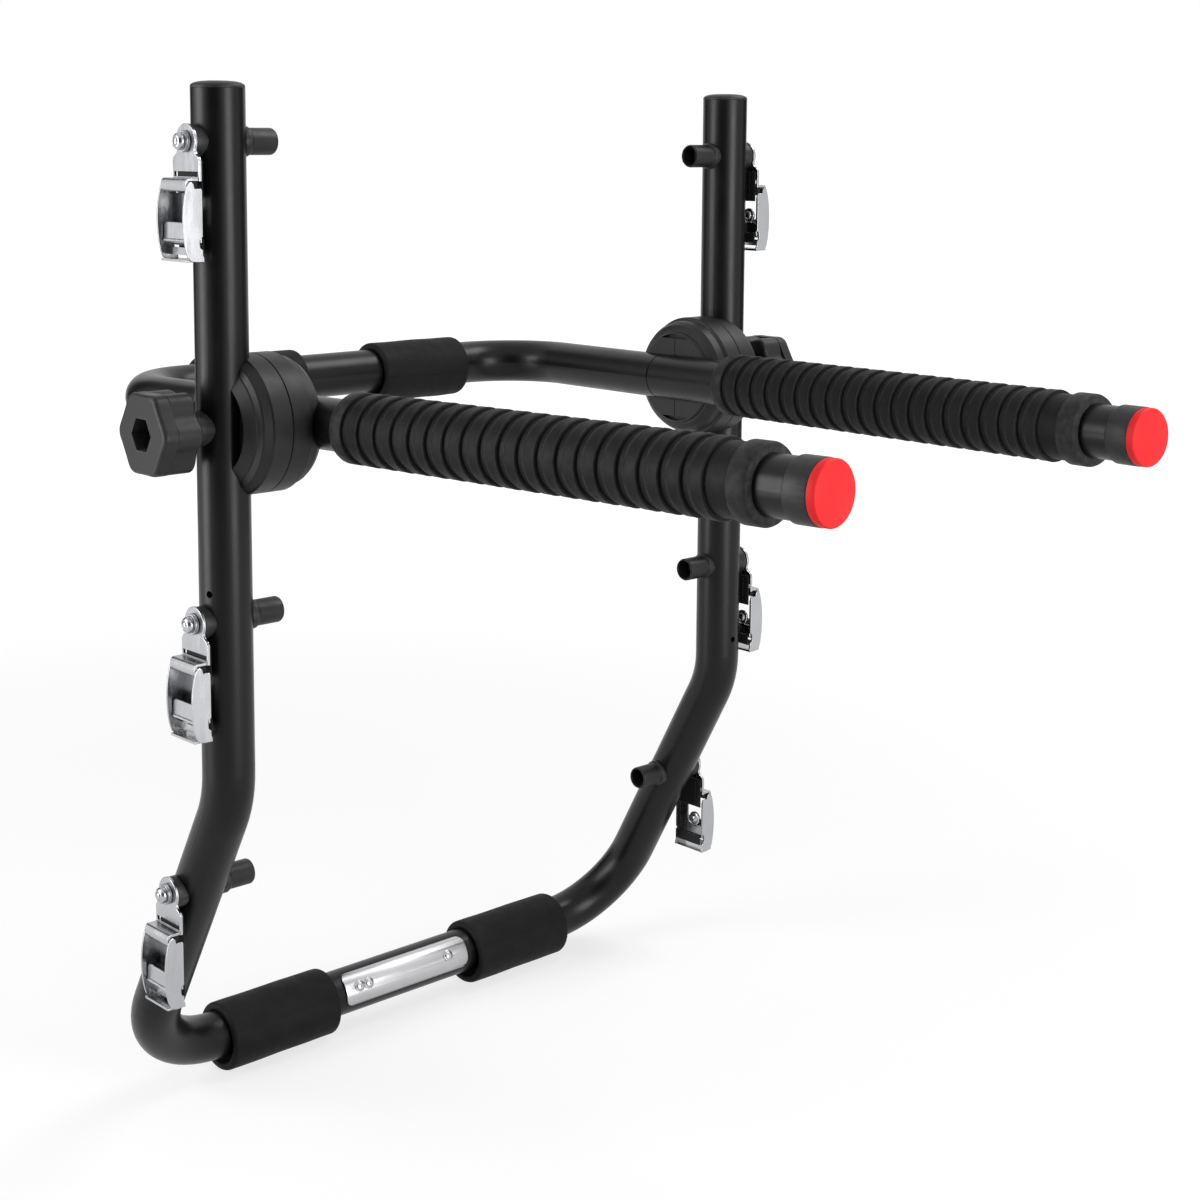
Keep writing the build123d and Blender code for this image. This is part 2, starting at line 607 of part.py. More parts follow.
def knob_body():
    hub_start = KNOB_SPACER_END + MOVING_GAP
    body = knob_outline(KNOB_STEP, KNOB_REAR_LOBE, 0, KNOB_REAR, KNOB_SPLIT)
    body += x_cylinder(12, -KNOB_REAR - 1, -hub_start, HINGE_Y, HINGE_Z)
    body -= x_cylinder(HINGE_BOLT_R + SHAFT_GAP, -KNOB_FRONT, 0, HINGE_Y, HINGE_Z)
    return body - x_hexagon(HINGE_NUT_FLATS + 2 * TOUCH, -KNOB_FRONT, -HINGE_NUT_SEAT, HINGE_Y, HINGE_Z)


def knob_cap():
    cap = knob_outline(0, KNOB_FRONT_LOBE, KNOB_FRONT_FLATTENING, KNOB_SPLIT + TOUCH, KNOB_FRONT)
    front = cap.faces().sort_by(Axis.X)[0]
    cap = chamfer(front.edges(), 1.2)
    return cap - x_hexagon(HINGE_NUT_FLATS + 0.4, -KNOB_FRONT - 5, 0, HINGE_Y, HINGE_Z)


def knob_nut():
    seat = HINGE_NUT_SEAT + TOUCH
    nut = x_hexagon(HINGE_NUT_FLATS, -seat - HINGE_NUT_THICKNESS, -seat, HINGE_Y, HINGE_Z)
    return nut - x_cylinder(HINGE_BOLT_R + SHAFT_GAP, -KNOB_FRONT, 0, HINGE_Y, HINGE_Z)


def joint_groove():
    wide = JOINT_CHAMFER
    outline = [(-wide, TUBE_R), (0, TUBE_R - wide), (wide, TUBE_R), (wide, TUBE_R + 1), (-wide, TUBE_R + 1)]
    return arm_turned([(JOINT_S + s, radius) for s, radius in outline])


def arm_tube():
    start = JOINT_S + TOUCH
    tube = sleeve(TUBE_R, BORE_R, along_arm(start), along_arm(ARM_END)) - joint_groove()
    return tube - x_cylinder(HINGE_BOLT_R + TOUCH, 10, ARM_INSET, HINGE_Y, HINGE_Z)


def grip():
    bore = TUBE_R + TOUCH
    pitch = (GRIP_END - GRIP_START - FIRST_COLLAR - LAST_COLLAR) / GROOVES
    outline = [(GRIP_START, bore), (GRIP_START, GRIP_R - 1), (GRIP_START + 1, GRIP_R)]
    for index in range(GROOVES):
        start = GRIP_START + FIRST_COLLAR + pitch * index
        outline.append((start, GRIP_R))
        outline.append((start + 0.3, GROOVE_R))
        outline.append((start + 0.3 + GROOVE_FLOOR, GROOVE_R))
        outline.append((start + 0.3 + GROOVE_FLOOR + GROOVE_SLOPE, GRIP_R))
    outline.append((GRIP_END - 1, GRIP_R))
    outline.append((GRIP_END, GRIP_R - 1))
    outline.append((GRIP_END, bore))
    return arm_turned(outline)


def end_sleeve():
    end = ARM_END + TOUCH + END_SLEEVE_LIP
    outline = [
        (END_SLEEVE_START, TUBE_R + TOUCH), (END_SLEEVE_START, END_SLEEVE_R - 0.8),
        (END_SLEEVE_START + 0.8, END_SLEEVE_R), (end, END_SLEEVE_R), (end, RED_PLUG_R + TOUCH),
        (ARM_END + TOUCH, RED_PLUG_R + TOUCH), (ARM_END + TOUCH, TUBE_R + TOUCH),
    ]
    return arm_turned(outline)


def red_cap():
    start = ARM_END + END_SLEEVE_LIP + 2 * TOUCH
    end = start + RED_CAP_THICKNESS
    outline = [
        (start - 14, 0), (start - 14, RED_PLUG_R - 0.8), (start - 13.2, RED_PLUG_R), (start, RED_PLUG_R),
        (start, RED_CAP_R), (end - 1, RED_CAP_R), (end - 0.3, RED_CAP_R - 0.3), (end, RED_CAP_R - 1), (end, 0),
    ]
    return arm_turned(outline)


def upper_tube():
    corner = ARM_ROOT + ARM_DIRECTION * (-CROSS_REACH / math.cos(TOE))
    left_end = along_arm(JOINT_S)
    points = [left_end, corner, Vector(-corner.X, corner.Y, corner.Z), Vector(-left_end.X, left_end.Y, left_end.Z)]
    tube = bent_tube(points, [CROSS_BEND_R, CROSS_BEND_R])
    return tube - joint_groove() - mirror(joint_groove(), about=Plane.YZ)


# Build the root frame
joint_sleeve = sleeve(BORE_R - TOUCH, BORE_R - TOUCH - INSERT_WALL, (-INSERT_HALF_LENGTH, 0, 0), (INSERT_HALF_LENGTH, 0, 0))
for position in RIVET_POSITIONS:
    joint_sleeve -= rivet_line(position, RIVET_R + TOUCH, 8, 20)
add("frame_joint_sleeve", joint_sleeve)
add("name_plate", name_plate())
add("plate_rivets", *[plate_rivet(position) for position in RIVET_POSITIONS])

bolts = []
washers = []
spacers = []
pins = []
nuts = []
LEVELS = ("upper", "middle", "lower")

for side in ("left", "right"):
    add(side + "_frame_tube", for_side(frame_tube(side), side))
    add(side + "_upright_cap", for_side(upright_cap(), side))
    foam_end = HALF_WIDTH - CORNER_BEND_R - LOWER_FOAM_FROM_BEND
    lower_foam = hanging_foam(LOWER_FOAM_SLACK, LOWER_FOAM_WALL, LOWER_FOAM_LENGTH, foam_end, 0, 0)
    add(side + "_lower_foam", for_side(lower_foam, side))
    add(side + "_outer_disc", for_side(outer_disc(), side))
    add(side + "_knob_spacer", for_side(knob_spacer(), side))
    add(side + "_inner_disc", for_side(raise_arm(inner_disc()), side))
    add(side + "_hinge_bolt", for_side(raise_arm(hinge_bolt()), side))
    add(side + "_arm_tube", for_side(raise_arm(arm_tube()), side))
    insert = sleeve(BORE_R - TOUCH, BORE_R - TOUCH - INSERT_WALL, along_arm(ARM_INSERT_START), along_arm(ARM_INSERT_END))
    insert -= x_cylinder(BOLT_HEAD_R + INSERT_HOLE_GAP, 0, ARM_INSET, HINGE_Y, HINGE_Z)
    add(side + "_arm_insert", for_side(raise_arm(insert), side))
    add(side + "_grip", for_side(raise_arm(grip()), side))
    add(side + "_end_sleeve", for_side(raise_arm(end_sleeve()), side))
    add(side + "_red_cap", for_side(raise_arm(red_cap()), side))
    cross_y = HINGE_Y + CROSS_REACH
    foam_end = CROSS_STRAIGHT_X - UPPER_FOAM_FROM_BEND
    upper_foam = hanging_foam(UPPER_FOAM_SLACK, UPPER_FOAM_WALL, UPPER_FOAM_LENGTH, foam_end, cross_y, HINGE_Z)
    add(side + "_upper_foam", for_side(raise_arm(upper_foam), side))
    add(side + "_knob_body", for_side(knob_body(), side))
    add(side + "_knob_cap", for_side(knob_cap(), side))
    add(side + "_knob_nut", for_side(knob_nut(), side))
    for level, height in zip(LEVELS, STATION_HEIGHTS[side]):
        bolts.append(for_side(station_bolt(height), side))
        spacers.append(for_side(station_spacer(height), side))
        pins.append(for_side(station_pin(height), side))
        nuts.append(for_side(station_nut(height), side))
        for washer in station_washers(height):
            washers.append(for_side(washer, side))
        name = side + "_" + level
        add(name + "_buckle_frame", for_side(buckle_place(buckle_frame(), height), side))
        add(name + "_buckle_lever", for_side(buckle_place(cam_lever(), height), side))
        strips = [for_side(buckle_place(strip, height), side) for strip in buckle_webbing()]
        add(name + "_buckle_webbing", *strips)

add("upper_tube", raise_arm(upper_tube()))
add("station_bolts", *bolts)
add("station_washers", *washers)
add("station_spacers", *spacers)
add("station_pins", *pins)
add("station_nuts", *nuts)

os.makedirs("parts", exist_ok=True)
for name, shape in parts.items():
    export_step(shape, "parts/" + name + ".step")
print(len(parts), "nodes")
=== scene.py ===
import math
import bmesh
import bpy
from bpy.props import FloatProperty, FloatVectorProperty, IntProperty, PointerProperty
from mathutils import Matrix, Vector, noise


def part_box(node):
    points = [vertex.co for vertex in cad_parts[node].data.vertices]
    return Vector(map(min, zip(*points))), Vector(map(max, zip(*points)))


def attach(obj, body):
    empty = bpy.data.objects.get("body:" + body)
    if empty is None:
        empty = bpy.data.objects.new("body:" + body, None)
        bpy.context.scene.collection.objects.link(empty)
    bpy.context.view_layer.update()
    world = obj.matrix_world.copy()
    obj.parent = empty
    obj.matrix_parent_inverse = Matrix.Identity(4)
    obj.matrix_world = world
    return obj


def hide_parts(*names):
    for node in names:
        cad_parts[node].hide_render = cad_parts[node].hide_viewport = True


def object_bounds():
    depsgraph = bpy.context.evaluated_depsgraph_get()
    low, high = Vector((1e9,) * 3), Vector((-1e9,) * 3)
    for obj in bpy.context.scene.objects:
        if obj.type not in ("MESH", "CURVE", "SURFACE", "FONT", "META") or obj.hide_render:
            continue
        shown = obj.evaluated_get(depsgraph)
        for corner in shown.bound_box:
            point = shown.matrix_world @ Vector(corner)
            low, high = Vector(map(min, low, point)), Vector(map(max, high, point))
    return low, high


bl_info = {
    "name": "Bike carrier",
    "version": (1, 0, 0),
    "blender": (4, 5, 0),
    "location": "View3D > Sidebar > Bike carrier",
    "description": "Builds the looks of a strap-on bike carrier on its packed frame",
    "category": "Add Mesh",
}

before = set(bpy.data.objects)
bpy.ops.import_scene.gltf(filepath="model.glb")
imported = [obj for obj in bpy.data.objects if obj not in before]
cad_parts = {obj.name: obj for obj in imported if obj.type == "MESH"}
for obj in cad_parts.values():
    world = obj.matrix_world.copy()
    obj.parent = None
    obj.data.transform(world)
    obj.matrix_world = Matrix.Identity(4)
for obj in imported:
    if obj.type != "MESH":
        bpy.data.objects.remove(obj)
CAD_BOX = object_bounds()
SIDES = {"left": -1, "right": 1}
LEVELS = ("upper", "middle", "lower")
MM = 0.001
TUBE_R = 15.0 * MM
HALF_WIDTH = 202.0 * MM
EYE_R = 9.7 * MM
BOLT_SEAT = 23.86 * MM
WASHERS_START = 21.4 * MM
WASHER_STEP = 1.23 * MM
FLAT_ANGLE = math.radians(1.2)
BEVEL_ANGLE = math.radians(32)
WELD_GAP = 2e-6
OUTLINE_GAP = 1e-6
SEAM_GAP = 1e-7
OXIDE_COLOUR = (0.02, 0.02, 0.022)
CENTRE = Vector((0, 0, 0))
ACROSS = Vector((1, 0, 0))
DEPTH = Vector((0, 1, 0))
UP = Vector((0, 0, 1))


# Where things are in the frame, in metres
def middle(node):
    low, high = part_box(node)
    return (low + high) / 2


def station(side, level):
    low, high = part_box(side + "_" + level + "_buckle_frame")
    return Vector((SIDES[side] * HALF_WIDTH, (low.y + high.y) / 2, high.z - EYE_R))


def stations():
    for side, out in SIDES.items():
        for level in LEVELS:
            yield side + "_" + level, out, station(side, level)


def arm_line(side):
    start = middle(side + "_grip")
    end = middle(side + "_red_cap")
    return start, (end - start).normalized()


# Meshes, the objects that carry them, and the hiding of the parts each piece replaces
def welded(node):
    mesh = bmesh.new()
    mesh.from_mesh(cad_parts[node].data)
    bmesh.ops.remove_doubles(mesh, verts=mesh.verts, dist=WELD_GAP)
    bmesh.ops.dissolve_limit(
        mesh, angle_limit=FLAT_ANGLE, use_dissolve_boundaries=False, verts=mesh.verts, edges=mesh.edges
    )
    return mesh


def linked(name, data):
    piece = bpy.data.objects.new(name, data)
    bpy.context.scene.collection.objects.link(piece)
    return piece


def new_object(name, mesh, material):
    if isinstance(mesh, bmesh.types.BMesh):
        data = bpy.data.meshes.new(name)
        mesh.to_mesh(data)
        mesh.free()
        mesh = data
    mesh.materials.clear()
    mesh.materials.append(material)
    return linked(name, mesh)


def remove_object(piece):
    data = piece.data
    bpy.data.objects.remove(piece)
    bpy.data.meshes.remove(data)


def evaluated_mesh(piece):
    depsgraph = bpy.context.evaluated_depsgraph_get()
    return bpy.data.meshes.new_from_object(piece.evaluated_get(depsgraph), depsgraph=depsgraph)


def baked(piece):
    data = evaluated_mesh(piece)
    piece.modifiers.clear()
    old = piece.data
    piece.data = data
    bpy.data.meshes.remove(old)
    return piece


def joined(name, pieces):
    mesh = bmesh.new()
    for piece in pieces:
        mesh.from_mesh(piece.data)
    whole = new_object(name, mesh, pieces[0].data.materials[0])
    for piece in pieces:
        remove_object(piece)
    return whole


def all_smooth(piece):
    piece.data.polygons.foreach_set("use_smooth", [True] * len(piece.data.polygons))
    return piece


def smooth(piece, angle=50):
    all_smooth(piece).data.set_sharp_from_angle(angle=math.radians(angle))
    return piece


# Let the large faces set the shading, so that sheets look flat up to their rounded edges
def flat_faced(piece):
    weighted = piece.modifiers.new("Flat faces", "WEIGHTED_NORMAL")
    weighted.keep_sharp = True
    return baked(piece)


def finish_piece(piece, body, slot, *nodes):
    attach(piece, body)
    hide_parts(*nodes)


def rounded_node(node, body, slot, material, width):
    piece = new_object(node + "_rounded", welded(node), material)
    bevel = piece.modifiers.new("Rounded edges", "BEVEL")
    bevel.width = width
    bevel.segments = 3
    bevel.limit_method = "ANGLE"
    bevel.angle_limit = BEVEL_ANGLE
    bevel.use_clamp_overlap = False
    bevel.harden_normals = True
    bevel.miter_outer = "MITER_ARC"
    finish_piece(baked(all_smooth(piece)), body, slot, node)


def coat_node(node, material):
    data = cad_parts[node].data
    data.materials.clear()
    data.materials.append(material)


# A node of any tree, each socket given a value or a link
def add_node(tree, kind, sockets=None, **settings):
    node = tree.nodes.new(kind)
    for name, value in settings.items():
        setattr(node, name, value)
    for name, value in (sockets or {}).items():
        if isinstance(value, bpy.types.NodeSocket):
            tree.links.new(value, node.inputs[name])
        else:
            node.inputs[name].default_value = value
    return node


def maths(tree, operation, first, second, clamp=False):
    sockets = {0: first, 1: second}
    return add_node(tree, "ShaderNodeMath", sockets, operation=operation, use_clamp=clamp).outputs[0]


def ranged(tree, value, low, high, out_low, out_high, **settings):
    sockets = {"Value": value, "From Min": low, "From Max": high, "To Min": out_low, "To Max": out_high}
    return add_node(tree, "ShaderNodeMapRange", sockets, **settings).outputs["Result"]


def sockets_of(sockets, kind):
    return [socket for socket in sockets if socket.type == kind]


# Materials
class Finish:
    def __init__(self, name, **values):
        self.material = bpy.data.materials.new(name)
        self.material.use_nodes = True
        self.tree = self.material.node_tree
        self.shader = self.tree.nodes["Principled BSDF"]
        self.place = self.tree.nodes.new("ShaderNodeTexCoord").outputs["Object"]
        for key, value in values.items():
            self.shader.inputs[key.replace("_", " ")].default_value = value

    def noise(self, scale, detail, stretch=None):
        place = self.place
        if stretch:
            sockets = {"Vector": place, "Scale": stretch}
            place = add_node(self.tree, "ShaderNodeMapping", sockets).outputs["Vector"]
        sockets = {"Vector": place, "Scale": scale, "Detail": detail}
        return add_node(self.tree, "ShaderNodeTexNoise", sockets).outputs["Fac"]

    def spread(self, value, low=0.3, high=0.7, out_low=0, out_high=1):
        return ranged(self.tree, value, low, high, out_low, out_high)

    def mixed(self, factor, first, second):
        node = add_node(self.tree, "ShaderNodeMix", data_type="RGBA")
        self.tree.links.new(factor, node.inputs[0])
        for socket, colour in zip(sockets_of(node.inputs, "RGBA"), (first, second)):
            if isinstance(colour, bpy.types.NodeSocket):
                self.tree.links.new(colour, socket)
            else:
                socket.default_value = (*colour, 1)
        return sockets_of(node.outputs, "RGBA")[0]

    def clouded(self, scale, detail, colour, darker, paler, low=0.3, high=0.7):
        cloud = self.spread(self.noise(scale, detail), low, high)
        return self.mixed(cloud, tinted(colour, darker), tinted(colour, paler))

    # Mask of sharp edges in patches, for edges made paler partly by wear and partly by a painted highlight
    def worn_and_highlit_edges(self, low, high):
        shape = add_node(self.tree, "ShaderNodeNewGeometry")
        patchy = self.spread(self.noise(240, 3), 0.35, 0.65, 0.4, 1.0)
        return maths(self.tree, "MULTIPLY", patchy, self.spread(shape.outputs["Pointiness"], low, high))

    def colour(self, source):
        self.tree.links.new(source, self.shader.inputs["Base Color"])

    def rough(self, source, low, high):
        spread = self.spread(source, out_low=low, out_high=high)
        self.tree.links.new(spread, self.shader.inputs["Roughness"])

    def bump(self, height, distance, strength):
        normal = self.shader.inputs["Normal"]
        sockets = {"Height": height, "Distance": distance, "Strength": strength}
        if normal.is_linked:
            sockets["Normal"] = normal.links[0].from_socket
        self.tree.links.new(add_node(self.tree, "ShaderNodeBump", sockets).outputs["Normal"], normal)


def tinted(colour, factor):
    return tuple(min(1.0, part * factor) for part in colour)


def tube_coat(finish):
    colour, rough = finish.tube_colour, finish.tube_roughness
    coat = Finish("black_powder_coat", Roughness=rough, Specular_IOR_Level=finish.tube_gloss)
    coat.colour(coat.clouded(18, 3, colour, 0.85, 1.2))
    coat.rough(coat.noise(60, 4), rough - 0.025, rough + 0.035)
    coat.bump(coat.noise(700, 2), 0.00002, 0.5)
    return coat.material


def moulded_plastic(finish, name, worn_and_highlit):
    colour = finish.plastic_colour
    plastic = Finish(name, Specular_IOR_Level=finish.plastic_gloss)
    tone = plastic.clouded(30, 3, colour, 0.85, 1.15)
    # Paler edges: partly wear, partly a painted highlight standing in for light caught on the edges
    if worn_and_highlit:
        tone = plastic.mixed(plastic.worn_and_highlit_edges(0.51, 0.56), tone, tinted(colour, 5))
    plastic.colour(tone)
    plastic.rough(plastic.noise(90, 4), 0.4, 0.5)
    plastic.bump(plastic.noise(1500, 3), 0.00003, 0.5)
    return plastic.material


def red_plastic(finish):
    plastic = Finish("red_end_plastic", Specular_IOR_Level=0.12)
    plastic.colour(plastic.clouded(60, 3, finish.red_colour, 0.94, 1))
    plastic.rough(plastic.noise(120, 4), 0.42, 0.52)
    plastic.bump(plastic.noise(1400, 2), 0.00002, 0.4)
    return plastic.material


def closed_foam(finish, name, colour, roughness, rubbed_and_highlit=1):
    foam = Finish(name, Specular_IOR_Level=finish.foam_gloss)
    tone = foam.clouded(45, 4, colour, 0.8, 1.25, 0.25, 0.75)
    # Paler edges: partly rubbed wear, partly a painted highlight on the rib lips
    if rubbed_and_highlit > 1:
        tone = foam.mixed(foam.worn_and_highlit_edges(0.515, 0.58), tone, tinted(colour, rubbed_and_highlit))
    foam.colour(tone)
    foam.rough(foam.noise(160, 4), roughness - 0.06, roughness + 0.06)
    foam.bump(foam.noise(900, 5), 0.00012, 0.5)
    foam.bump(foam.noise(90, 3), 0.0003, 0.35)
    return foam.material


def woven_webbing(finish):
    colour = finish.webbing_colour
    values = {"Specular_IOR_Level": 0.2, "Roughness": 0.66, "Sheen_Weight": 0.12, "Sheen_Roughness": 0.4}
    web = Finish("woven_webbing", **values)
    fibres = web.noise(1, 3, (900, 2600, 260))
    web.colour(web.mixed(web.spread(fibres), tinted(colour, 0.55), tinted(colour, 1.6)))
    web.bump(fibres, 0.00006, 0.6)
    web.bump(web.noise(2600, 2), 0.00004, 0.4)
    return web.material


# Brushed along one axis, with painted shade where it is seen at a glancing angle
def plated_steel(name, colour, roughness, brush):
    steel = Finish(name, Metallic=1.0)
    tone = steel.clouded(70, 4, colour, 0.93, 1)
    # Painted shade: the colour goes dark where the surface is seen at a glancing angle
    painted_shade_facing = add_node(steel.tree, "ShaderNodeLayerWeight", {"Blend": 0.5})
    rim = steel.spread(painted_shade_facing.outputs["Facing"], 0.7, 0.95)
    steel.colour(steel.mixed(rim, tone, tinted(colour, 0.16)))
    streaks = steel.noise(1, 4, brush)
    steel.rough(streaks, roughness - 0.05, roughness + 0.07)
    steel.bump(streaks, 0.00001, 0.35)
    steel.bump(steel.noise(260, 3), 0.00004, 0.25)
    return steel.material


FINISHES = {}


def make_finishes(context):
    finish = context.scene.carrier_finish
    if FINISHES:
        return FINISHES
    FINISHES.update(
        tube=tube_coat(finish),
        plastic=moulded_plastic(finish, "black_moulded_plastic", True),
        disc=moulded_plastic(finish, "black_disc_plastic", False),
        red=red_plastic(finish),
        foam=closed_foam(finish, "smooth_foam", finish.foam_colour, 0.62),
        grip=closed_foam(finish, "ribbed_grip_foam", finish.grip_colour, 0.52, 7),
        webbing=woven_webbing(finish),
    )
    for key, name, colour, roughness, brush in (
        ("zinc", "zinc_plated_steel", finish.zinc_colour, 0.24, (300, 300, 40)),
        ("washer", "dull_washer_steel", finish.washer_colour, 0.36, (200, 200, 60)),
        ("dark_steel", "black_oxide_steel", OXIDE_COLOUR, 0.48, (200, 200, 60)),
        ("plate", "brushed_bare_plate", finish.plate_colour, 0.32, (12, 900, 900)),
    ):
        FINISHES[key] = plated_steel(name, colour, roughness, brush)
    return FINISHES


# Mesh from rings of points, each ring closed round an axis; a radius may change with the angle
def lathed(rings, origin, direction, up, steps, closed=True):
    along = direction.normalized()
    side = along.cross(up).normalized()
    upward = side.cross(along).normalized()
    mesh = bmesh.new()
    rows = []
    for shift, radius_at in rings:
        row = []
        for index in range(steps):
            angle = 2 * math.pi * index / steps
            radius = radius_at(angle) if callable(radius_at) else radius_at
            offset = side * (math.sin(angle) * radius) + upward * (math.cos(angle) * radius)
            row.append(mesh.verts.new(origin + along * shift + offset))
        rows.append(row)
    following = rows[1:] + rows[:1] if closed else rows[1:]
    for first, second in zip(rows, following):
        bridge(mesh, first, second)
    bmesh.ops.remove_doubles(mesh, verts=mesh.verts, dist=SEAM_GAP)
    bmesh.ops.recalc_face_normals(mesh, faces=mesh.faces)
    return mesh


def bridge(mesh, first, second):
    for index in range(len(first)):
        after = (index + 1) % len(first)
        mesh.faces.new((first[index], first[after], second[after], second[index]))


# Foam sleeve across the carrier, with rounded rims and one lengthwise slit
def foam_sleeve(name, node, wall, slit_angle, sizes, material):
    low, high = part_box(node)
    half = (high - low).x / 2
    outer = (high.z - low.z) / 2
    bore = outer - wall
    rim = sizes.foam_rim
    lip_at, lip_reach = 2.6 * sizes.slit_width, 2 * sizes.slit_width
    lip_height, puff_height, pinch_depth = 0.25 * MM, 0.28 * MM, 0.12 * MM
    waves_along, waves_round = 55, 1.6

    def soft(base, distance):
        def radius(angle):
            turn = (angle - slit_angle + math.pi) % (2 * math.pi) - math.pi
            slit = math.exp(-(turn * base / sizes.slit_width) ** 2) * sizes.slit_depth
            lip = math.exp(-((turn * base - lip_at) / lip_reach) ** 2) * lip_height
            around = (math.cos(angle) * waves_round, math.sin(angle) * waves_round)
            puff = noise.noise(Vector((distance * waves_along, *around))) * puff_height
            return base - slit + lip + puff - math.cos(turn) * pinch_depth
        return radius

    def rim_ring(end, turn):
        at = end * (half - rim + rim * math.cos(turn))
        return at, soft(outer - rim + rim * math.sin(turn), at)

    lengths = 30
    quarter = 6
    turns = [math.pi / 2 * step / quarter for step in range(quarter + 1)]
    mouth = [(half - 0.1 * MM, bore + 0.5 * MM), (half - 0.8 * MM, bore)]
    rings = [(-at, radius) for at, radius in reversed(mouth)] + [rim_ring(-1, turn) for turn in turns]
    for step in range(1, lengths):
        at = -half + rim + (2 * half - 2 * rim) * step / lengths
        rings.append((at, soft(outer, at)))
    rings += [rim_ring(1, turn) for turn in reversed(turns)] + mouth
    return all_smooth(new_object(name, lathed(rings, middle(node), ACROSS, UP, 144), material))


# Geometry Nodes tree that copies a shape, the size of each copy drawn from a seed
class Tree:
    def __init__(self, name, own):
        self.group = bpy.data.node_groups.new(name, "GeometryNodeTree")
        interface = self.group.interface
        for in_out in ("INPUT", "OUTPUT"):
            interface.new_socket("Geometry", in_out=in_out, socket_type="NodeSocketGeometry")
        self.names = {}
        shared = (("Size spread", "Float", 0.004), ("Seed", "Int", 4), ("Material", "Material", None))
        for socket, kind, default in own + shared:
            item = interface.new_socket(socket, in_out="INPUT", socket_type="NodeSocket" + kind)
            if default is not None:
                item.default_value = default
            self.names[socket] = item.identifier
        self.inputs = self.group.nodes.new("NodeGroupInput")

    def given(self, name):
        return self.inputs.outputs[name]

    def drawn(self, data_type, kind, low, high):
        sockets = {"Seed": self.given("Seed")}
        node = add_node(self.group, "FunctionNodeRandomValue", sockets, data_type=data_type)
        for socket, end in zip(sockets_of(node.inputs, kind), (low, high)):
            self.group.links.new(end, socket)
        return sockets_of(node.outputs, kind)[0]

    def close(self, sockets):
        spread = self.given("Size spread")
        smallest = maths(self.group, "SUBTRACT", 1.0, spread)
        largest = maths(self.group, "ADD", 1.0, spread)
        sockets["Scale"] = self.drawn("FLOAT", "VALUE", smallest, largest)
        places = add_node(self.group, "GeometryNodeInstanceOnPoints", sockets)
        sockets = {"Geometry": places.outputs["Instances"]}
        realized = add_node(self.group, "GeometryNodeRealizeInstances", sockets)
        sockets = {"Geometry": realized.outputs["Geometry"], "Material": self.given("Material")}
        painted = add_node(self.group, "GeometryNodeSetMaterial", sockets)
        add_node(self.group, "NodeGroupOutput", {"Geometry": painted.outputs["Geometry"]})
        return self

    def run(self, piece, values):
        modifier = piece.modifiers.new("Copies", "NODES")
        modifier.node_group = self.group
        for name, value in values.items():
            modifier[self.names[name]] = value
        return baked(piece)


def repeat_along_tree():
    own = (("Count", "Int", 20), ("Start", "Vector", None), ("Step", "Vector", None))
    tree = Tree("Repeat along a line", own)
    count, start, step = (tree.given(name) for name in ("Count", "Start", "Step"))
    sockets = {"Count": count, "Start Location": start, "Offset": step}
    line = add_node(tree.group, "GeometryNodeMeshLine", sockets, mode="OFFSET", count_mode="TOTAL")
    return tree.close({"Points": line.outputs["Mesh"], "Instance": tree.given("Geometry")})


def place_tree():
    tree = Tree("Place at points", (("Shape", "Object", None), ("Twist", "Vector", (0, 0, 0))))
    sockets = {"Object": tree.given("Shape"), "As Instance": True}
    info = add_node(tree.group, "GeometryNodeObjectInfo", sockets, transform_space="ORIGINAL")
    sockets = {0: tree.given("Twist"), "Scale": -1}
    back = add_node(tree.group, "ShaderNodeVectorMath", sockets, operation="SCALE").outputs["Vector"]
    turn = tree.drawn("FLOAT_VECTOR", "VECTOR", back, tree.given("Twist"))
    points = tree.given("Geometry")
    return tree.close({"Points": points, "Instance": info.outputs["Geometry"], "Rotation": turn})


TREES = {}


def tree_from(make):
    if make not in TREES:
        TREES[make] = make()
    return TREES[make]


def placed(name, shape, points, twist, spread, seed, material):
    mesh = bmesh.new()
    for point in points:
        mesh.verts.new(point)
    piece = new_object(name, mesh, material)
    values = {"Shape": shape, "Twist": twist, "Size spread": spread, "Seed": seed, "Material": material}
    tree_from(place_tree).run(piece, values)
    remove_object(shape)
    return piece


def repeated(piece, count, start, step, spread, seed, material):
    values = {"Count": count, "Start": start, "Step": step, "Size spread": spread, "Seed": seed}
    return tree_from(repeat_along_tree).run(piece, {**values, "Material": material})


# Stamped plate with rounded edges, from outlines drawn on a flat curve; later outlines are holes
def stamped(outlines, thickness, edge, place, first):
    curve = bpy.data.curves.new("outline", "CURVE")
    curve.dimensions = "2D"
    curve.fill_mode = "BOTH"
    curve.bevel_depth = edge
    curve.bevel_resolution = 2
    curve.offset = -edge
    curve.extrude = thickness * MM / 2 - edge
    for outline in outlines:
        spline = curve.splines.new("POLY")
        spline.points.add(len(outline) - 1)
        for point, (across, upward) in zip(spline.points, in_metres(outline)):
            point.co = (across, upward, 0, 1)
        spline.use_cyclic_u = True
    helper = linked("outline", curve)
    data = evaluated_mesh(helper)
    bpy.data.objects.remove(helper)
    bpy.data.curves.remove(curve)
    mesh = bmesh.new()
    mesh.from_mesh(data)
    bpy.data.meshes.remove(data)
    bmesh.ops.remove_doubles(mesh, verts=mesh.verts, dist=OUTLINE_GAP)
    turn = Matrix((first, UP, first.cross(UP))).transposed().to_4x4()
    mesh.transform(Matrix.Translation([part * MM for part in place]) @ turn)
    return mesh


def side_plate(outline, thickness, edge, depth=0):
    return stamped([outline], thickness, edge, (0, depth, 0), ACROSS)


def face_plate(outlines, thickness, edge, out):
    return stamped(outlines, thickness, edge, (out, 0, 0), DEPTH)


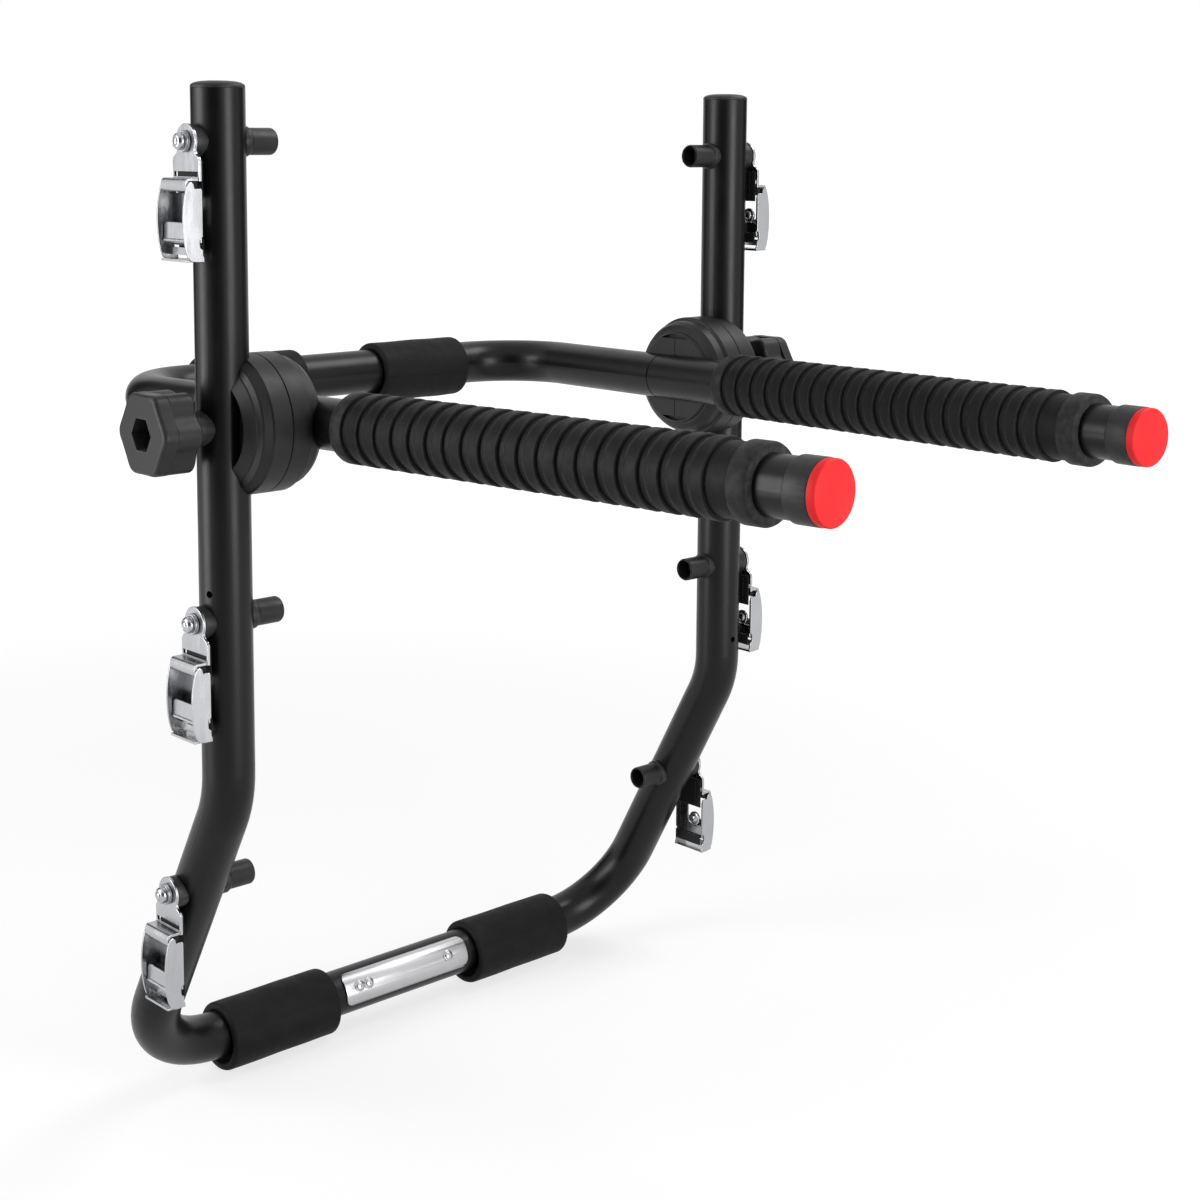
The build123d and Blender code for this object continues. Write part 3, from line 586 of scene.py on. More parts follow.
def flowing(points, steps):
    ends = [Vector(point) for point in (points[0], *points, points[-1])]
    line = []
    for before, start, end, after in zip(ends, ends[1:], ends[2:], ends[3:]):
        for step in range(steps):
            at = step / steps
            place = start * 2 + (end - before) * at + (before * 2 - start * 5 + end * 4 - after) * at ** 2
            place += (start * 3 - before - end * 3 + after) * at ** 3
            line.append(tuple(place / 2))
    line.append(tuple(points[-1]))
    return line


def round_arc(centre, radius, start, end, steps):
    line = []
    for step in range(steps + 1):
        angle = math.radians(start + (end - start) * step / steps)
        line.append((centre[0] + radius * math.cos(angle), centre[1] + radius * math.sin(angle)))
    return line


def in_metres(points):
    return [(first * MM, second * MM) for first, second in points]


# Join meshes drawn from a buckle's bolt, with x outward, and put them in their place
def merged(meshes, origin, out):
    whole = bmesh.new()
    for mesh in meshes:
        data = bpy.data.meshes.new("part")
        mesh.to_mesh(data)
        mesh.free()
        whole.from_mesh(data)
        bpy.data.meshes.remove(data)
    whole.transform(Matrix.Translation(origin) @ Matrix.Diagonal((out, 1, 1, 1)))
    bmesh.ops.recalc_face_normals(whole, faces=whole.faces)
    return whole


def rod_mesh(rings, out, z):
    return lathed(in_metres(rings), Vector((out * MM, 0, z * MM)), DEPTH, UP, 40, False)


def plain_rod(radius, half, edge=0.25):
    start = [(-half, 0), (-half, radius - edge), (-half + edge, radius)]
    return start + [(half - edge, radius), (half, radius - edge), (half, 0)]


def buckle_frame_meshes(sizes):
    edge = sizes.sheet_edge
    neck = [(-8.8, -5), (-9.8, -6.8), (-12.2, -8.4), (-13.3, -10.4)]
    tang = round_arc((0, 0), 9.7, -25.7, 205.7, 56) + flowing(neck, 4) + [(-13.3, -21.3), (13.3, -21.3)]
    tang += flowing([(-y, z) for y, z in reversed(neck)], 4)
    hole = round_arc((0, 0), 3.1, 0, 352.5, 47)
    slot = [(-12, -18.9), (12, -18.9), (12, -16.4), (-12, -16.4)]
    fold = [(12.4, -19.7), (13.6, -20.6), (14.3, -22.6), (14.1, -25.2), (13.3, -26.8), (12.1, -27.2)]
    inner = [(11.3, -26.4), (12.2, -25), (12.5, -22.8), (11.9, -21.3)]
    profile = [(4.4, -21.3), (4.4, -19.7)] + flowing(fold, 4) + flowing(inner, 4)
    parts = [face_plate([tang, hole, slot], 1.8, edge, 5.2), side_plate(profile, 25.4, edge)]
    front = [(11.4, -21.5), (13.4, -23), (15, -28), (16.2, -35), (16.6, -42), (16.3, -50)]
    front += [(15.3, -57.5), (13.8, -62.6)]
    notch = [(4.5, -58.4), (6, -57.4), (6.4, -55.8), (6.4, -53.8), (6, -52.4), (4.5, -51.4)]
    wall = flowing(front, 6) + [(11.6, -64.5), (9, -65), (3.8, -65), (3.8, -63), (4.5, -61.4)]
    wall += flowing(notch, 3) + [(4.5, -26.4), (5.2, -25.4), (9.2, -25.4), (9.8, -22.8)]
    for depth in (13.15, -13.15):
        parts.append(side_plate(wall, 1.3, edge, depth))
    back = [(-12.8, -54.5), (12.8, -54.5), (12.8, -28), (1.2, -28)] + round_arc((-3.8, -40.7), 5, 0, -90, 8)
    back += [(-12, -45.7), (-12, -28), (-12.8, -28)]
    tab = [(-7.6, -47), (-3.6, -47), (-3.6, -41), (-7.6, -41)]
    for outline in (back, tab):
        parts.append(face_plate([outline], 1.0, edge, 5.0))
    stud = [(5.5, 0), (5.5, 4.7), (5.3, 4.9), (4.3, 4.9), (4.0, 4.75), (3.6, 4.2), (3.6, 3.0), (3.2, 2.7)]
    stud += [(2.7, 2.4), (2.35, 1.6), (2.3, 0)]
    stud_place = Vector((0, -5.6 * MM, -40.6 * MM))
    parts.append(lathed(in_metres(stud), stud_place, ACROSS, UP, 40, False))
    bar = [(8.4, -61.6), (9.6, -61.6), (9.6, -57.4), (8.4, -57.4)]
    foot = [(4.5, -65), (14.8, -65), (14.8, -63.6), (4.5, -63.6)]
    return parts + [side_plate(outline, 25.4, edge) for outline in (bar, foot)]


def buckle_lever_meshes(sizes):
    edge = sizes.sheet_edge
    cam_out, cam_z, cam_r = 9.4, -53, 3.2
    parts = [rod_mesh(plain_rod(cam_r, 12.2), cam_out, cam_z), rod_mesh(plain_rod(2.0, 13.4), cam_out, cam_z)]
    for turn in (-30, -5, 20):
        angle = math.radians(turn)
        ridge = plain_rod(0.35, 11.2, 0.15)
        parts.append(rod_mesh(ridge, cam_out - cam_r * math.cos(angle), cam_z + cam_r * math.sin(angle)))
    thumb = [(-11.5, cam_z), (11.5, cam_z)] + round_arc((8.5, -46.5), 3, 0, 90, 8)
    thumb += round_arc((-8.5, -46.5), 3, 90, 180, 8)
    lip = [(12, -54), (13.6, -54.2), (14.1, -53.9), (14.2, -53.2), (13.9, -52.7), (13.2, -52.4), (12, -52.4)]
    return parts + [face_plate([thumb], 1.4, edge * 1.6, 12.7), side_plate(lip, 22.9, edge)]


# Outlines of the lobed knob and of its hexagonal hole, as radius by angle
def lobed(mean, lobe, flattening):
    def radius(angle):
        turn = angle - math.pi / 2
        return (mean + lobe * math.cos(6 * turn) + flattening * math.cos(12 * turn)) * MM
    return radius


def hexagonal(apothem):
    def radius(angle):
        turn = (angle - math.pi / 2) % (math.pi / 3) - math.pi / 6
        return apothem / math.cos(turn) * MM
    return radius


# Strip whose lengthwise cords float over crossing ribs, on both faces
def woven_strip(centre, width, thickness, length, sizes):
    mesh = bmesh.new()
    across = 88
    row_step, end_reach, fray_length = 0.3 * MM, 0.35 * MM, 0.18 * MM
    rows = max(6, round(length / row_step))
    half = width / 2
    body = thickness / 2 - sizes.weave_depth
    pitch = sizes.weave_pitch

    def height(y, z):
        column = (y + half) / width * sizes.weave_cords
        bulge = abs(math.sin(math.pi * column)) ** 0.7
        crossing = 0.5 + 0.5 * math.cos(2 * math.pi * z / pitch + math.pi * (int(column) % 2))
        rib = 0.5 + 0.5 * math.cos(4 * math.pi * z / pitch)
        return sizes.weave_depth * bulge * (0.25 + 0.55 * crossing + 0.2 * rib)

    rings = []
    for row in range(rows + 1):
        z = -length / 2 + length * row / rows
        end = min(row, rows - row) / rows * length
        squeeze = 1 - 0.4 * math.exp(-end / end_reach)
        ring = []
        for index in list(range(across + 1)) + list(range(across - 1, 0, -1)):
            y = -half + width * index / across
            face = 1 if len(ring) <= across else -1
            level = (1 - (abs(y) / half) ** 10) ** 0.5
            shifted = z + (0.3 if face < 0 else 0) * pitch
            x = face * (body * level + height(y, shifted) * level) * squeeze
            fray = noise.noise(Vector((y * 900, z * 20, face * 3))) * fray_length if end == 0 else 0
            ring.append(mesh.verts.new(centre + Vector((x, y, z + fray))))
        rings.append(ring)
    for first, second in zip(rings, rings[1:]):
        bridge(mesh, first, second)
    mesh.faces.new(rings[0])
    mesh.faces.new(rings[-1])
    bmesh.ops.recalc_face_normals(mesh, faces=mesh.faces)
    return mesh


# Settings shown in the sidebar
def shade(name, description, default):
    return FloatVectorProperty(name=name, description=description, subtype="COLOR", default=default)


def share(name, description, default):
    return FloatProperty(name=name, description=description, default=default, min=0, max=1)


def span(name, description, default):
    return FloatProperty(name=name, description=description, default=default, unit="LENGTH")


def watts(name, description, default):
    return FloatProperty(name=name, description=description, default=default, unit="POWER")


class CarrierFinish(bpy.types.PropertyGroup):
    tube_colour: shade("Tube colour", "Powder coat on the tubes", (0.004, 0.004, 0.0042))
    tube_gloss: share("Tube gloss", "Specular level of the powder coat", 0.22)
    tube_roughness: share("Tube roughness", "Roughness of the powder coat", 0.32)
    plastic_colour: shade("Plastic colour", "Moulded hinges, knobs and caps", (0.01, 0.01, 0.0105))
    plastic_gloss: share("Plastic gloss", "Specular level of the plastic", 0.26)
    red_colour: shade("End cap colour", "Caps on the arms' ends", (0.92, 0.03, 0.034))
    foam_colour: shade("Foam colour", "Smooth foam sleeves", (0.01, 0.01, 0.0105))
    grip_colour: shade("Grip colour", "Ribbed foam grips", (0.009, 0.009, 0.0095))
    foam_gloss: share("Foam gloss", "Specular level of the foam", 0.1)
    webbing_colour: shade("Webbing colour", "Strap ends on the buckles", (0.012, 0.012, 0.013))
    zinc_colour: shade("Zinc colour", "Plated buckles and bolts", (0.45, 0.455, 0.47))
    washer_colour: shade("Washer colour", "Washers under the bolt heads", (0.36, 0.36, 0.38))
    plate_colour: shade("Plate colour", "Bare plate and its rivets", (0.5, 0.5, 0.515))


class CarrierSizes(bpy.types.PropertyGroup):
    sheet_edge: span("Sheet metal edge", "Edge radius of stamped parts", 0.0003)
    moulded_edge: span("Moulded edge", "Edge radius of plastic parts", 0.0004)
    knob_edge: span("Knob edge", "Edge radius of the knobs", 0.0026)
    foam_rim: span("Foam rim", "Rim radius of the foam sleeves", 0.0025)
    lower_wall: span("Lower foam wall", "Wall of the lower foam sleeves", 0.0048)
    upper_wall: span("Upper foam wall", "Wall of the upper foam pads", 0.0044)
    slit_depth: span("Slit depth", "Depth of the foam's lengthwise slit", 0.0008)
    slit_width: span("Slit width", "Half width of the foam's slit", 0.00045)
    ribs: IntProperty(name="Ribs", description="Ribs on each grip", default=20, min=2)
    groove_depth: span("Groove depth", "Depth between the ribs", 0.0017)
    weave_pitch: span("Weave pitch", "Length of one over and under in the webbing", 0.0034)
    weave_depth: span("Weave depth", "Height of the webbing's cords", 0.00022)
    weave_cords: IntProperty(name="Weave cords", description="Cords across the webbing", default=18, min=2)
    stitch_step: span("Stitch step", "Distance between stitches", 0.0028)
    plate_tilt: FloatProperty(
        name="Plate tilt", description="How far up the plate faces", default=math.radians(26), subtype="ANGLE"
    )


class CarrierStage(bpy.types.PropertyGroup):
    floor_glow: share("Floor glow", "How white the floor is to the camera", 0.72)
    side_power: watts("Side light", "Power of the side softbox", 16)
    front_power: watts("Front light", "Power of the front softbox", 18)
    top_power: watts("Top light", "Power of the overhead softbox", 18)
    fill: FloatProperty(
        name="Fill", description="Strength of the surroundings on the object", default=0.3, min=0
    )


# Stage
def seen_switch(tree):
    path = add_node(tree, "ShaderNodeLightPath").outputs
    seen = maths(tree, "ADD", path["Is Camera Ray"], path["Is Glossy Ray"])
    return maths(tree, "ADD", seen, path["Is Transmission Ray"], True)


def softbox(name, place, target, width, height, power):
    data = bpy.data.lights.new(name, "AREA")
    data.shape = "RECTANGLE"
    data.size = width
    data.size_y = height
    data.energy = power
    lamp = linked(name, data)
    lamp.location = place
    lamp.rotation_euler = (Vector(target) - Vector(place)).to_track_quat("-Z", "Y").to_euler()


def square(size):
    mesh = bmesh.new()
    bmesh.ops.create_grid(mesh, x_segments=1, y_segments=1, size=size)
    return mesh


def dark_card(name, place, target, width, height, material):
    mesh = square(0.5)
    facing = (Vector((*target[:2], place[2])) - Vector(place)).to_track_quat("Z", "Y")
    turn = Matrix.Translation(place) @ facing.to_matrix().to_4x4() @ Matrix.Diagonal((width, height, 1, 1))
    mesh.transform(turn)
    piece = new_object(name, mesh, material)
    piece.visible_camera = False
    piece.visible_shadow = False
    piece.visible_diffuse = False


# Grey to the light, and paler to the camera the further it is from the object
def floor_material(glow):
    near, far = 0.4, 2.2
    material = bpy.data.materials.new("pale_floor")
    material.use_nodes = True
    tree = material.node_tree
    tree.nodes.clear()
    place = add_node(tree, "ShaderNodeTexCoord").outputs["Object"]
    reach = add_node(tree, "ShaderNodeVectorMath", {0: place}, operation="LENGTH").outputs["Value"]
    paler = ranged(tree, reach, near, far, glow, 1.0, interpolation_type="SMOOTHSTEP")
    strength = maths(tree, "MULTIPLY", seen_switch(tree), paler)
    shine = add_node(tree, "ShaderNodeEmission", {"Strength": strength})
    dull = add_node(tree, "ShaderNodeBsdfDiffuse", {"Color": (0.30, 0.30, 0.30, 1)})
    both = add_node(tree, "ShaderNodeAddShader", {0: dull.outputs[0], 1: shine.outputs[0]})
    add_node(tree, "ShaderNodeOutputMaterial", {"Surface": both.outputs[0]})
    return material


class CARRIER_OT_stage(bpy.types.Operator):
    """Make the floor, the surroundings, the soft lights and their dark cards"""
    bl_idname = "carrier.stage"
    bl_label = "Stage"

    def execute(self, context):
        stage = context.scene.carrier_stage
        floor_gap = 0.0002
        floor_mesh = square(30)
        bmesh.ops.translate(floor_mesh, verts=floor_mesh.verts, vec=(0, 0, CAD_BOX[0][2] - floor_gap))
        floor = new_object("Floor", floor_mesh, floor_material(stage.floor_glow))

        world = bpy.data.worlds.new("Pale surroundings")
        context.scene.world = world
        world.use_nodes = True
        tree = world.node_tree
        background = tree.nodes["Background"]
        background.inputs["Color"].default_value = (1, 1, 1, 1)
        level = ranged(tree, seen_switch(tree), 0.0, 1.0, stage.fill, 1.0)
        tree.links.new(level, background.inputs["Strength"])

        middle_of_object = (0, -0.15, 0.3)
        for name, place, width, height, power in (
            ("Side softbox", (-1.2, 0.38, 0.5), 0.62, 1.3, stage.side_power),
            ("Front softbox", (0.12, -1.75, 0.45), 0.7, 1.05, stage.front_power),
            ("Right overhead softbox", (1.15, -0.55, 1.9), 0.9, 0.9, stage.top_power),
        ):
            softbox(name, place, middle_of_object, width, height, power)
        card = Finish("dark_card", Base_Color=(0.01, 0.01, 0.01, 1), Roughness=1.0).material
        card_height = 2.1
        for name, place, width in (
            ("Camera side card", (-1.5, -1.2, 1.05), 1.8),
            ("Right side card", (1.75, -0.32, 1.05), 1.1),
            ("Back card", (-0.35, 1.95, 1.05), 1.1),
        ):
            dark_card(name, place, middle_of_object, width, card_height, card)
        context.scene.view_settings.view_transform = "Standard"
        return {"FINISHED"}


class CARRIER_OT_camera(bpy.types.Operator):
    """Put the camera where the photograph was taken from"""
    bl_idname = "carrier.camera"
    bl_label = "Camera"

    def execute(self, context):
        yaw, pitch, roll = (math.radians(angle) for angle in (43.1833, 7.2054, 0.4099))
        place = (-0.81642, -1.07279, 0.57669)
        forward = Vector((math.sin(yaw) * math.cos(pitch), math.cos(yaw) * math.cos(pitch), -math.sin(pitch)))
        level = Vector((math.cos(yaw), -math.sin(yaw), 0))
        upright = Vector((math.sin(yaw) * math.sin(pitch), math.cos(yaw) * math.sin(pitch), math.cos(pitch)))
        right = level * math.cos(roll) + upright * math.sin(roll)
        up = upright * math.cos(roll) - level * math.sin(roll)
        data = bpy.data.cameras.new("Camera")
        data.sensor_width = 36
        data.sensor_fit = "HORIZONTAL"
        data.lens = 60.8494
        data.shift_y = -0.175
        data.clip_start = 0.02
        data.clip_end = 100
        camera = linked("Camera", data)
        turn = Matrix((right, up, -forward)).transposed().to_4x4()
        camera.matrix_world = Matrix.Translation(place) @ turn
        context.scene.camera = camera
        return {"FINISHED"}


class CARRIER_OT_tubes(bpy.types.Operator):
    """Coat the bent tubes, arms and inner sleeves, and round the upright caps"""
    bl_idname = "carrier.tubes"
    bl_label = "Tubes"

    def execute(self, context):
        coats = make_finishes(context)
        for side in SIDES:
            coat_node(side + "_frame_tube", coats["tube"])
            coat_node(side + "_arm_tube", coats["tube"])
            coat_node(side + "_arm_insert", coats["dark_steel"])
            rounded_node(side + "_upright_cap", "frame", "black_plastic", coats["plastic"], 0.4 * MM)
        coat_node("upper_tube", coats["tube"])
        coat_node("frame_joint_sleeve", coats["dark_steel"])
        return {"FINISHED"}


class CARRIER_OT_foam(bpy.types.Operator):
    """Make the smooth foam sleeves with their rounded rims and slits"""
    bl_idname = "carrier.foam"
    bl_label = "Foam sleeves"

    def execute(self, context):
        sizes = context.scene.carrier_sizes
        foam = make_finishes(context)["foam"]
        for side in SIDES:
            for level, body, wall, slit in (
                ("lower", "frame", sizes.lower_wall, 62), ("upper", "arms", sizes.upper_wall, 97)
            ):
                node = side + "_" + level + "_foam"
                piece = foam_sleeve(node + "_sleeve", node, wall, math.radians(slit), sizes, foam)
                finish_piece(piece, body, "foam", node)
        return {"FINISHED"}


class CARRIER_OT_grips(bpy.types.Operator):
    """Make the ribbed foam grips"""
    bl_idname = "carrier.grips"
    bl_label = "Ribbed grips"

    def execute(self, context):
        sizes = context.scene.carrier_sizes
        foam = make_finishes(context)["grip"]
        outer, bore = 20.2, 15.03
        groove = outer - sizes.groove_depth / MM
        first, last = 57.0, 349.0
        head_end, tail_start = first + 10.0, last - 12.0
        pitch = (tail_start - head_end) / sizes.ribs
        sleeve = [
            (first, bore), (first, outer - 1.6), (first + 0.5, outer - 0.5), (first + 1.6, outer),
            (head_end - 0.6, outer), (head_end - 0.1, outer - 0.4), (head_end + 0.2, groove),
            (tail_start, groove), (tail_start + 0.2, outer - 0.3), (tail_start + 0.7, outer),
            (last - 1.6, outer), (last - 0.5, outer - 0.5), (last, outer - 1.6), (last, bore),
        ]
        floor, slope = 3.2, 3.0
        shoulder = floor + slope
        rib = [
            (floor, groove - 0.4), (floor + 0.2, groove), (shoulder - 0.4, outer - 0.25),
            (shoulder + 0.4, outer), (shoulder + 1.0, outer), (pitch - 1.8, outer),
            (pitch - 1.3, outer + 0.08), (pitch - 0.9, outer + 0.18), (pitch - 0.5, outer + 0.08),
            (pitch - 0.2, outer - 0.3), (pitch, outer - 0.8), (pitch + 0.1, groove), (pitch + 0.1, groove - 0.4),
        ]
        for side in SIDES:
            node = side + "_grip"
            centre, along = arm_line(side)
            root = centre - along * ((first + last) / 2 * MM)
            core = new_object("core", lathed(in_metres(sleeve), root, along, UP, 96), foam)
            ring = new_object("ribs", lathed(in_metres(rib), CENTRE, along, UP, 96), foam)
            start, step = root + along * (head_end * MM), along * (pitch * MM)
            repeated(ring, sizes.ribs - 1, start, step, 0.0015, 4, foam)
            piece = smooth(joined(node + "_ribbed", [core, ring]))
            finish_piece(piece, "arms", "grip_foam", node)
        return {"FINISHED"}


class CARRIER_OT_arm_ends(bpy.types.Operator):
    """Round and coat the end sleeves and red caps"""
    bl_idname = "carrier.arm_ends"
    bl_label = "Arm ends"

    def execute(self, context):
        coats = make_finishes(context)
        for side in SIDES:
            rounded_node(side + "_end_sleeve", "arms", "black_plastic", coats["plastic"], 0.3 * MM)
            rounded_node(side + "_red_cap", "arms", "red_plastic", coats["red"], 0.5 * MM)
        return {"FINISHED"}


class CARRIER_OT_hinges(bpy.types.Operator):
    """Coat the toothed hinge discs and their bolts, and round the spacers"""
    bl_idname = "carrier.hinges"
    bl_label = "Hinges"

    def execute(self, context):
        edge = context.scene.carrier_sizes.moulded_edge
        coats = make_finishes(context)
        for side in SIDES:
            coat_node(side + "_outer_disc", coats["disc"])
            coat_node(side + "_inner_disc", coats["disc"])
            rounded_node(side + "_knob_spacer", "frame", "black_plastic", coats["plastic"], edge)
            coat_node(side + "_hinge_bolt", coats["dark_steel"])
        return {"FINISHED"}


class CARRIER_OT_knobs(bpy.types.Operator):
    """Mould the lobed screw knobs with their hexagonal recess"""
    bl_idname = "carrier.knobs"
    bl_label = "Knobs"

    def rounded_rim(self, outline, at, edge, inward):
        steps = 5
        rings = []
        for step in range(steps + 1):
            turn = math.pi / 2 * (step if inward > 0 else steps - step) / steps
            drop = edge * MM * (1 - math.sin(turn))
            shift = inward * edge * (1 - math.cos(turn))
            rings.append((at + shift, lambda angle, drop=drop: outline(angle) - drop))
        return rings

    def execute(self, context):
        edge = context.scene.carrier_sizes.knob_edge / MM
        coats = make_finishes(context)
        start, rear_face, nut_seat, split, face = 25.3, 27.0, 32.0, 43.0, 52.0
        bore, collar, seam, split_edge, front_edge = 5.1, 12, 0.03, 0.5, 0.35
        mean, lobe, flattening = 23.3, 1.2, 0.17
        rear = lobed(22.5, 2.0, 0)
        front = lobed(mean, lobe, flattening)
        face_edge = lobed(mean - edge - 0.6, lobe, flattening)
        pocket = hexagonal(8.45)
        hole = hexagonal(8.6)
        body_rings = [(start, bore), (start, collar - 0.5), (start + 0.5, collar), (rear_face, collar)]
        body_rings += self.rounded_rim(rear, rear_face, edge, 1)
        body_rings += self.rounded_rim(rear, split, split_edge, -1)
        body_rings += [(split, pocket), (nut_seat, pocket), (nut_seat, bore)]
        cap_rings = [(split + seam, hole)] + self.rounded_rim(front, split + seam, front_edge, 1)
        cap_rings += self.rounded_rim(front, face, edge, -1)
        cap_rings += [(face, face_edge), (face, hexagonal(9.5)), (face, hexagonal(8.85)), (face - 0.3, hole)]
        for side, sign in SIDES.items():
            body = side + "_knob"
            centre = middle(body + "_cap")
            centre.x = sign * HALF_WIDTH
            for name, rings in (("_body", body_rings), ("_cap", cap_rings)):
                rings = [(at * MM, radius if callable(radius) else radius * MM) for at, radius in rings]
                mesh = lathed(rings, centre, ACROSS * sign, UP, 240)
                piece = flat_faced(smooth(new_object(body + name + "_moulded", mesh, coats["plastic"]), 40))
                finish_piece(piece, body, "black_plastic", body + name)
            coat_node(side + "_knob_nut", coats["dark_steel"])
        return {"FINISHED"}


class CARRIER_OT_plate(bpy.types.Operator):
    """Round the bare plate and make its rivets"""
    bl_idname = "carrier.plate"
    bl_label = "Plate and rivets"

    def execute(self, context):
        tilt = context.scene.carrier_sizes.plate_tilt
        coat = make_finishes(context)["plate"]
        rounded_node("name_plate", "frame", "plate_metal", coat, 0.35 * MM)
        facing = Vector((0, -math.cos(tilt), math.sin(tilt)))
        seat = TUBE_R + 1.36 * MM
        rivet = [
            (-6.4, 0), (-6.2, 1.8), (-5.6, 2.4), (-4.2, 2.4), (-4.2, 1.5), (0, 1.5), (0, 3.55), (0.15, 3.75),
            (0.45, 3.75), (0.62, 3.58), (0.66, 3.1), (0.8, 2.98), (1.15, 2.75), (1.5, 2.3), (1.74, 1.7),
            (1.84, 1.15), (1.8, 0.95), (1.4, 0.85), (1.36, 0.6), (1.5, 0.35), (1.52, 0),
        ]
        rings = [(seat + at, radius) for at, radius in in_metres(rivet)]
        shape = smooth(new_object("rivet", lathed(rings, CENTRE, facing, ACROSS, 48, False), coat))
        places = [Vector((at * MM, 0, 0)) for at in (-41.0, -33.4, 35.0)]
        piece = placed("plate_rivet_heads", shape, places, (0, 0, 0), 0.004, 7, coat)
        finish_piece(piece, "frame", "zinc_steel", "plate_rivets")
        return {"FINISHED"}


class CARRIER_OT_stations(bpy.types.Operator):
    """Make the cross bolts and washers, round their spacers and bushes, and coat the nuts"""
    bl_idname = "carrier.stations"
    bl_label = "Cross bolts"

    def execute(self, context):
        edge = context.scene.carrier_sizes.moulded_edge
        coats = make_finishes(context)
        thread_start, thread_pitch, threads = -50.1, 0.8, 14
        bolt = [(-50.4, 0), (-50.4, 2.3)]
        for turn in range(threads):
            valley = thread_start + turn * thread_pitch
            bolt += [(valley, 2.6), (valley + thread_pitch / 2, 3.0)]
        bolt += [
            (-38.6, 2.98), (0, 2.98), (0, 4.55), (0.15, 4.75), (1.5, 4.75), (1.95, 4.62), (2.5, 4.3),
            (3.0, 3.85), (3.4, 3.35), (3.6, 2.9), (3.55, 2.68), (3.1, 2.56), (3.0, 2.35), (3.1, 2.12),
            (3.7, 1.95), (3.95, 1.6), (4.05, 0.9), (4.08, 0),
        ]
        washer = [(0, 3.05), (0, 5.8), (0.18, 6.0), (1.0, 6.0), (1.18, 5.8), (1.2, 3.05)]
        any_turn = (math.pi, 0, 0)
        heads = []
        rings = []
        for side, sign in SIDES.items():
            out = ACROSS * sign
            axis_points = [station(side, level) for level in LEVELS]
            shape = new_object("bolt", lathed(in_metres(bolt), CENTRE, out, UP, 40, False), coats["zinc"])
            places = [point + out * BOLT_SEAT for point in axis_points]
            smooth(shape, 60)
            heads.append(placed(side + "_bolts", shape, places, any_turn, 0.003, 5, coats["zinc"]))
            shape = new_object("washer", lathed(in_metres(washer), CENTRE, out, UP, 48), coats["washer"])
            starts = (WASHERS_START, WASHERS_START + WASHER_STEP)
            places = [point + out * start for point in axis_points for start in starts]
            smooth(shape, 30)
            rings.append(placed(side + "_washers", shape, places, any_turn, 0.004, 9, coats["washer"]))
        finish_piece(joined("station_bolt_heads", heads), "frame", "zinc_steel", "station_bolts")
        finish_piece(joined("station_washer_rings", rings), "frame", "zinc_steel", "station_washers")
        rounded_node("station_spacers", "frame", "black_plastic", coats["plastic"], edge)
        rounded_node("station_pins", "frame", "black_plastic", coats["plastic"], 0.35 * MM)
        coat_node("station_nuts", coats["dark_steel"])
        return {"FINISHED"}


class CARRIER_OT_buckles(bpy.types.Operator):
    """Make the stamped cam buckles and their levers"""
    bl_idname = "carrier.buckles"
    bl_label = "Buckles"

    def execute(self, context):
        sizes = context.scene.carrier_sizes
        zinc = make_finishes(context)["zinc"]
        kinds = (("frame", "buckle", buckle_frame_meshes), ("lever", "lever", buckle_lever_meshes))
        for name, out, eye in stations():
            origin = eye + ACROSS * (out * TUBE_R)
            for kind, body, make in kinds:
                mesh = merged(make(sizes), origin, out)
                piece = flat_faced(smooth(new_object(name + "_stamped_" + kind, mesh, zinc), 38))
                finish_piece(piece, name + "_" + body, "zinc_steel", name + "_buckle_" + kind)
        return {"FINISHED"}


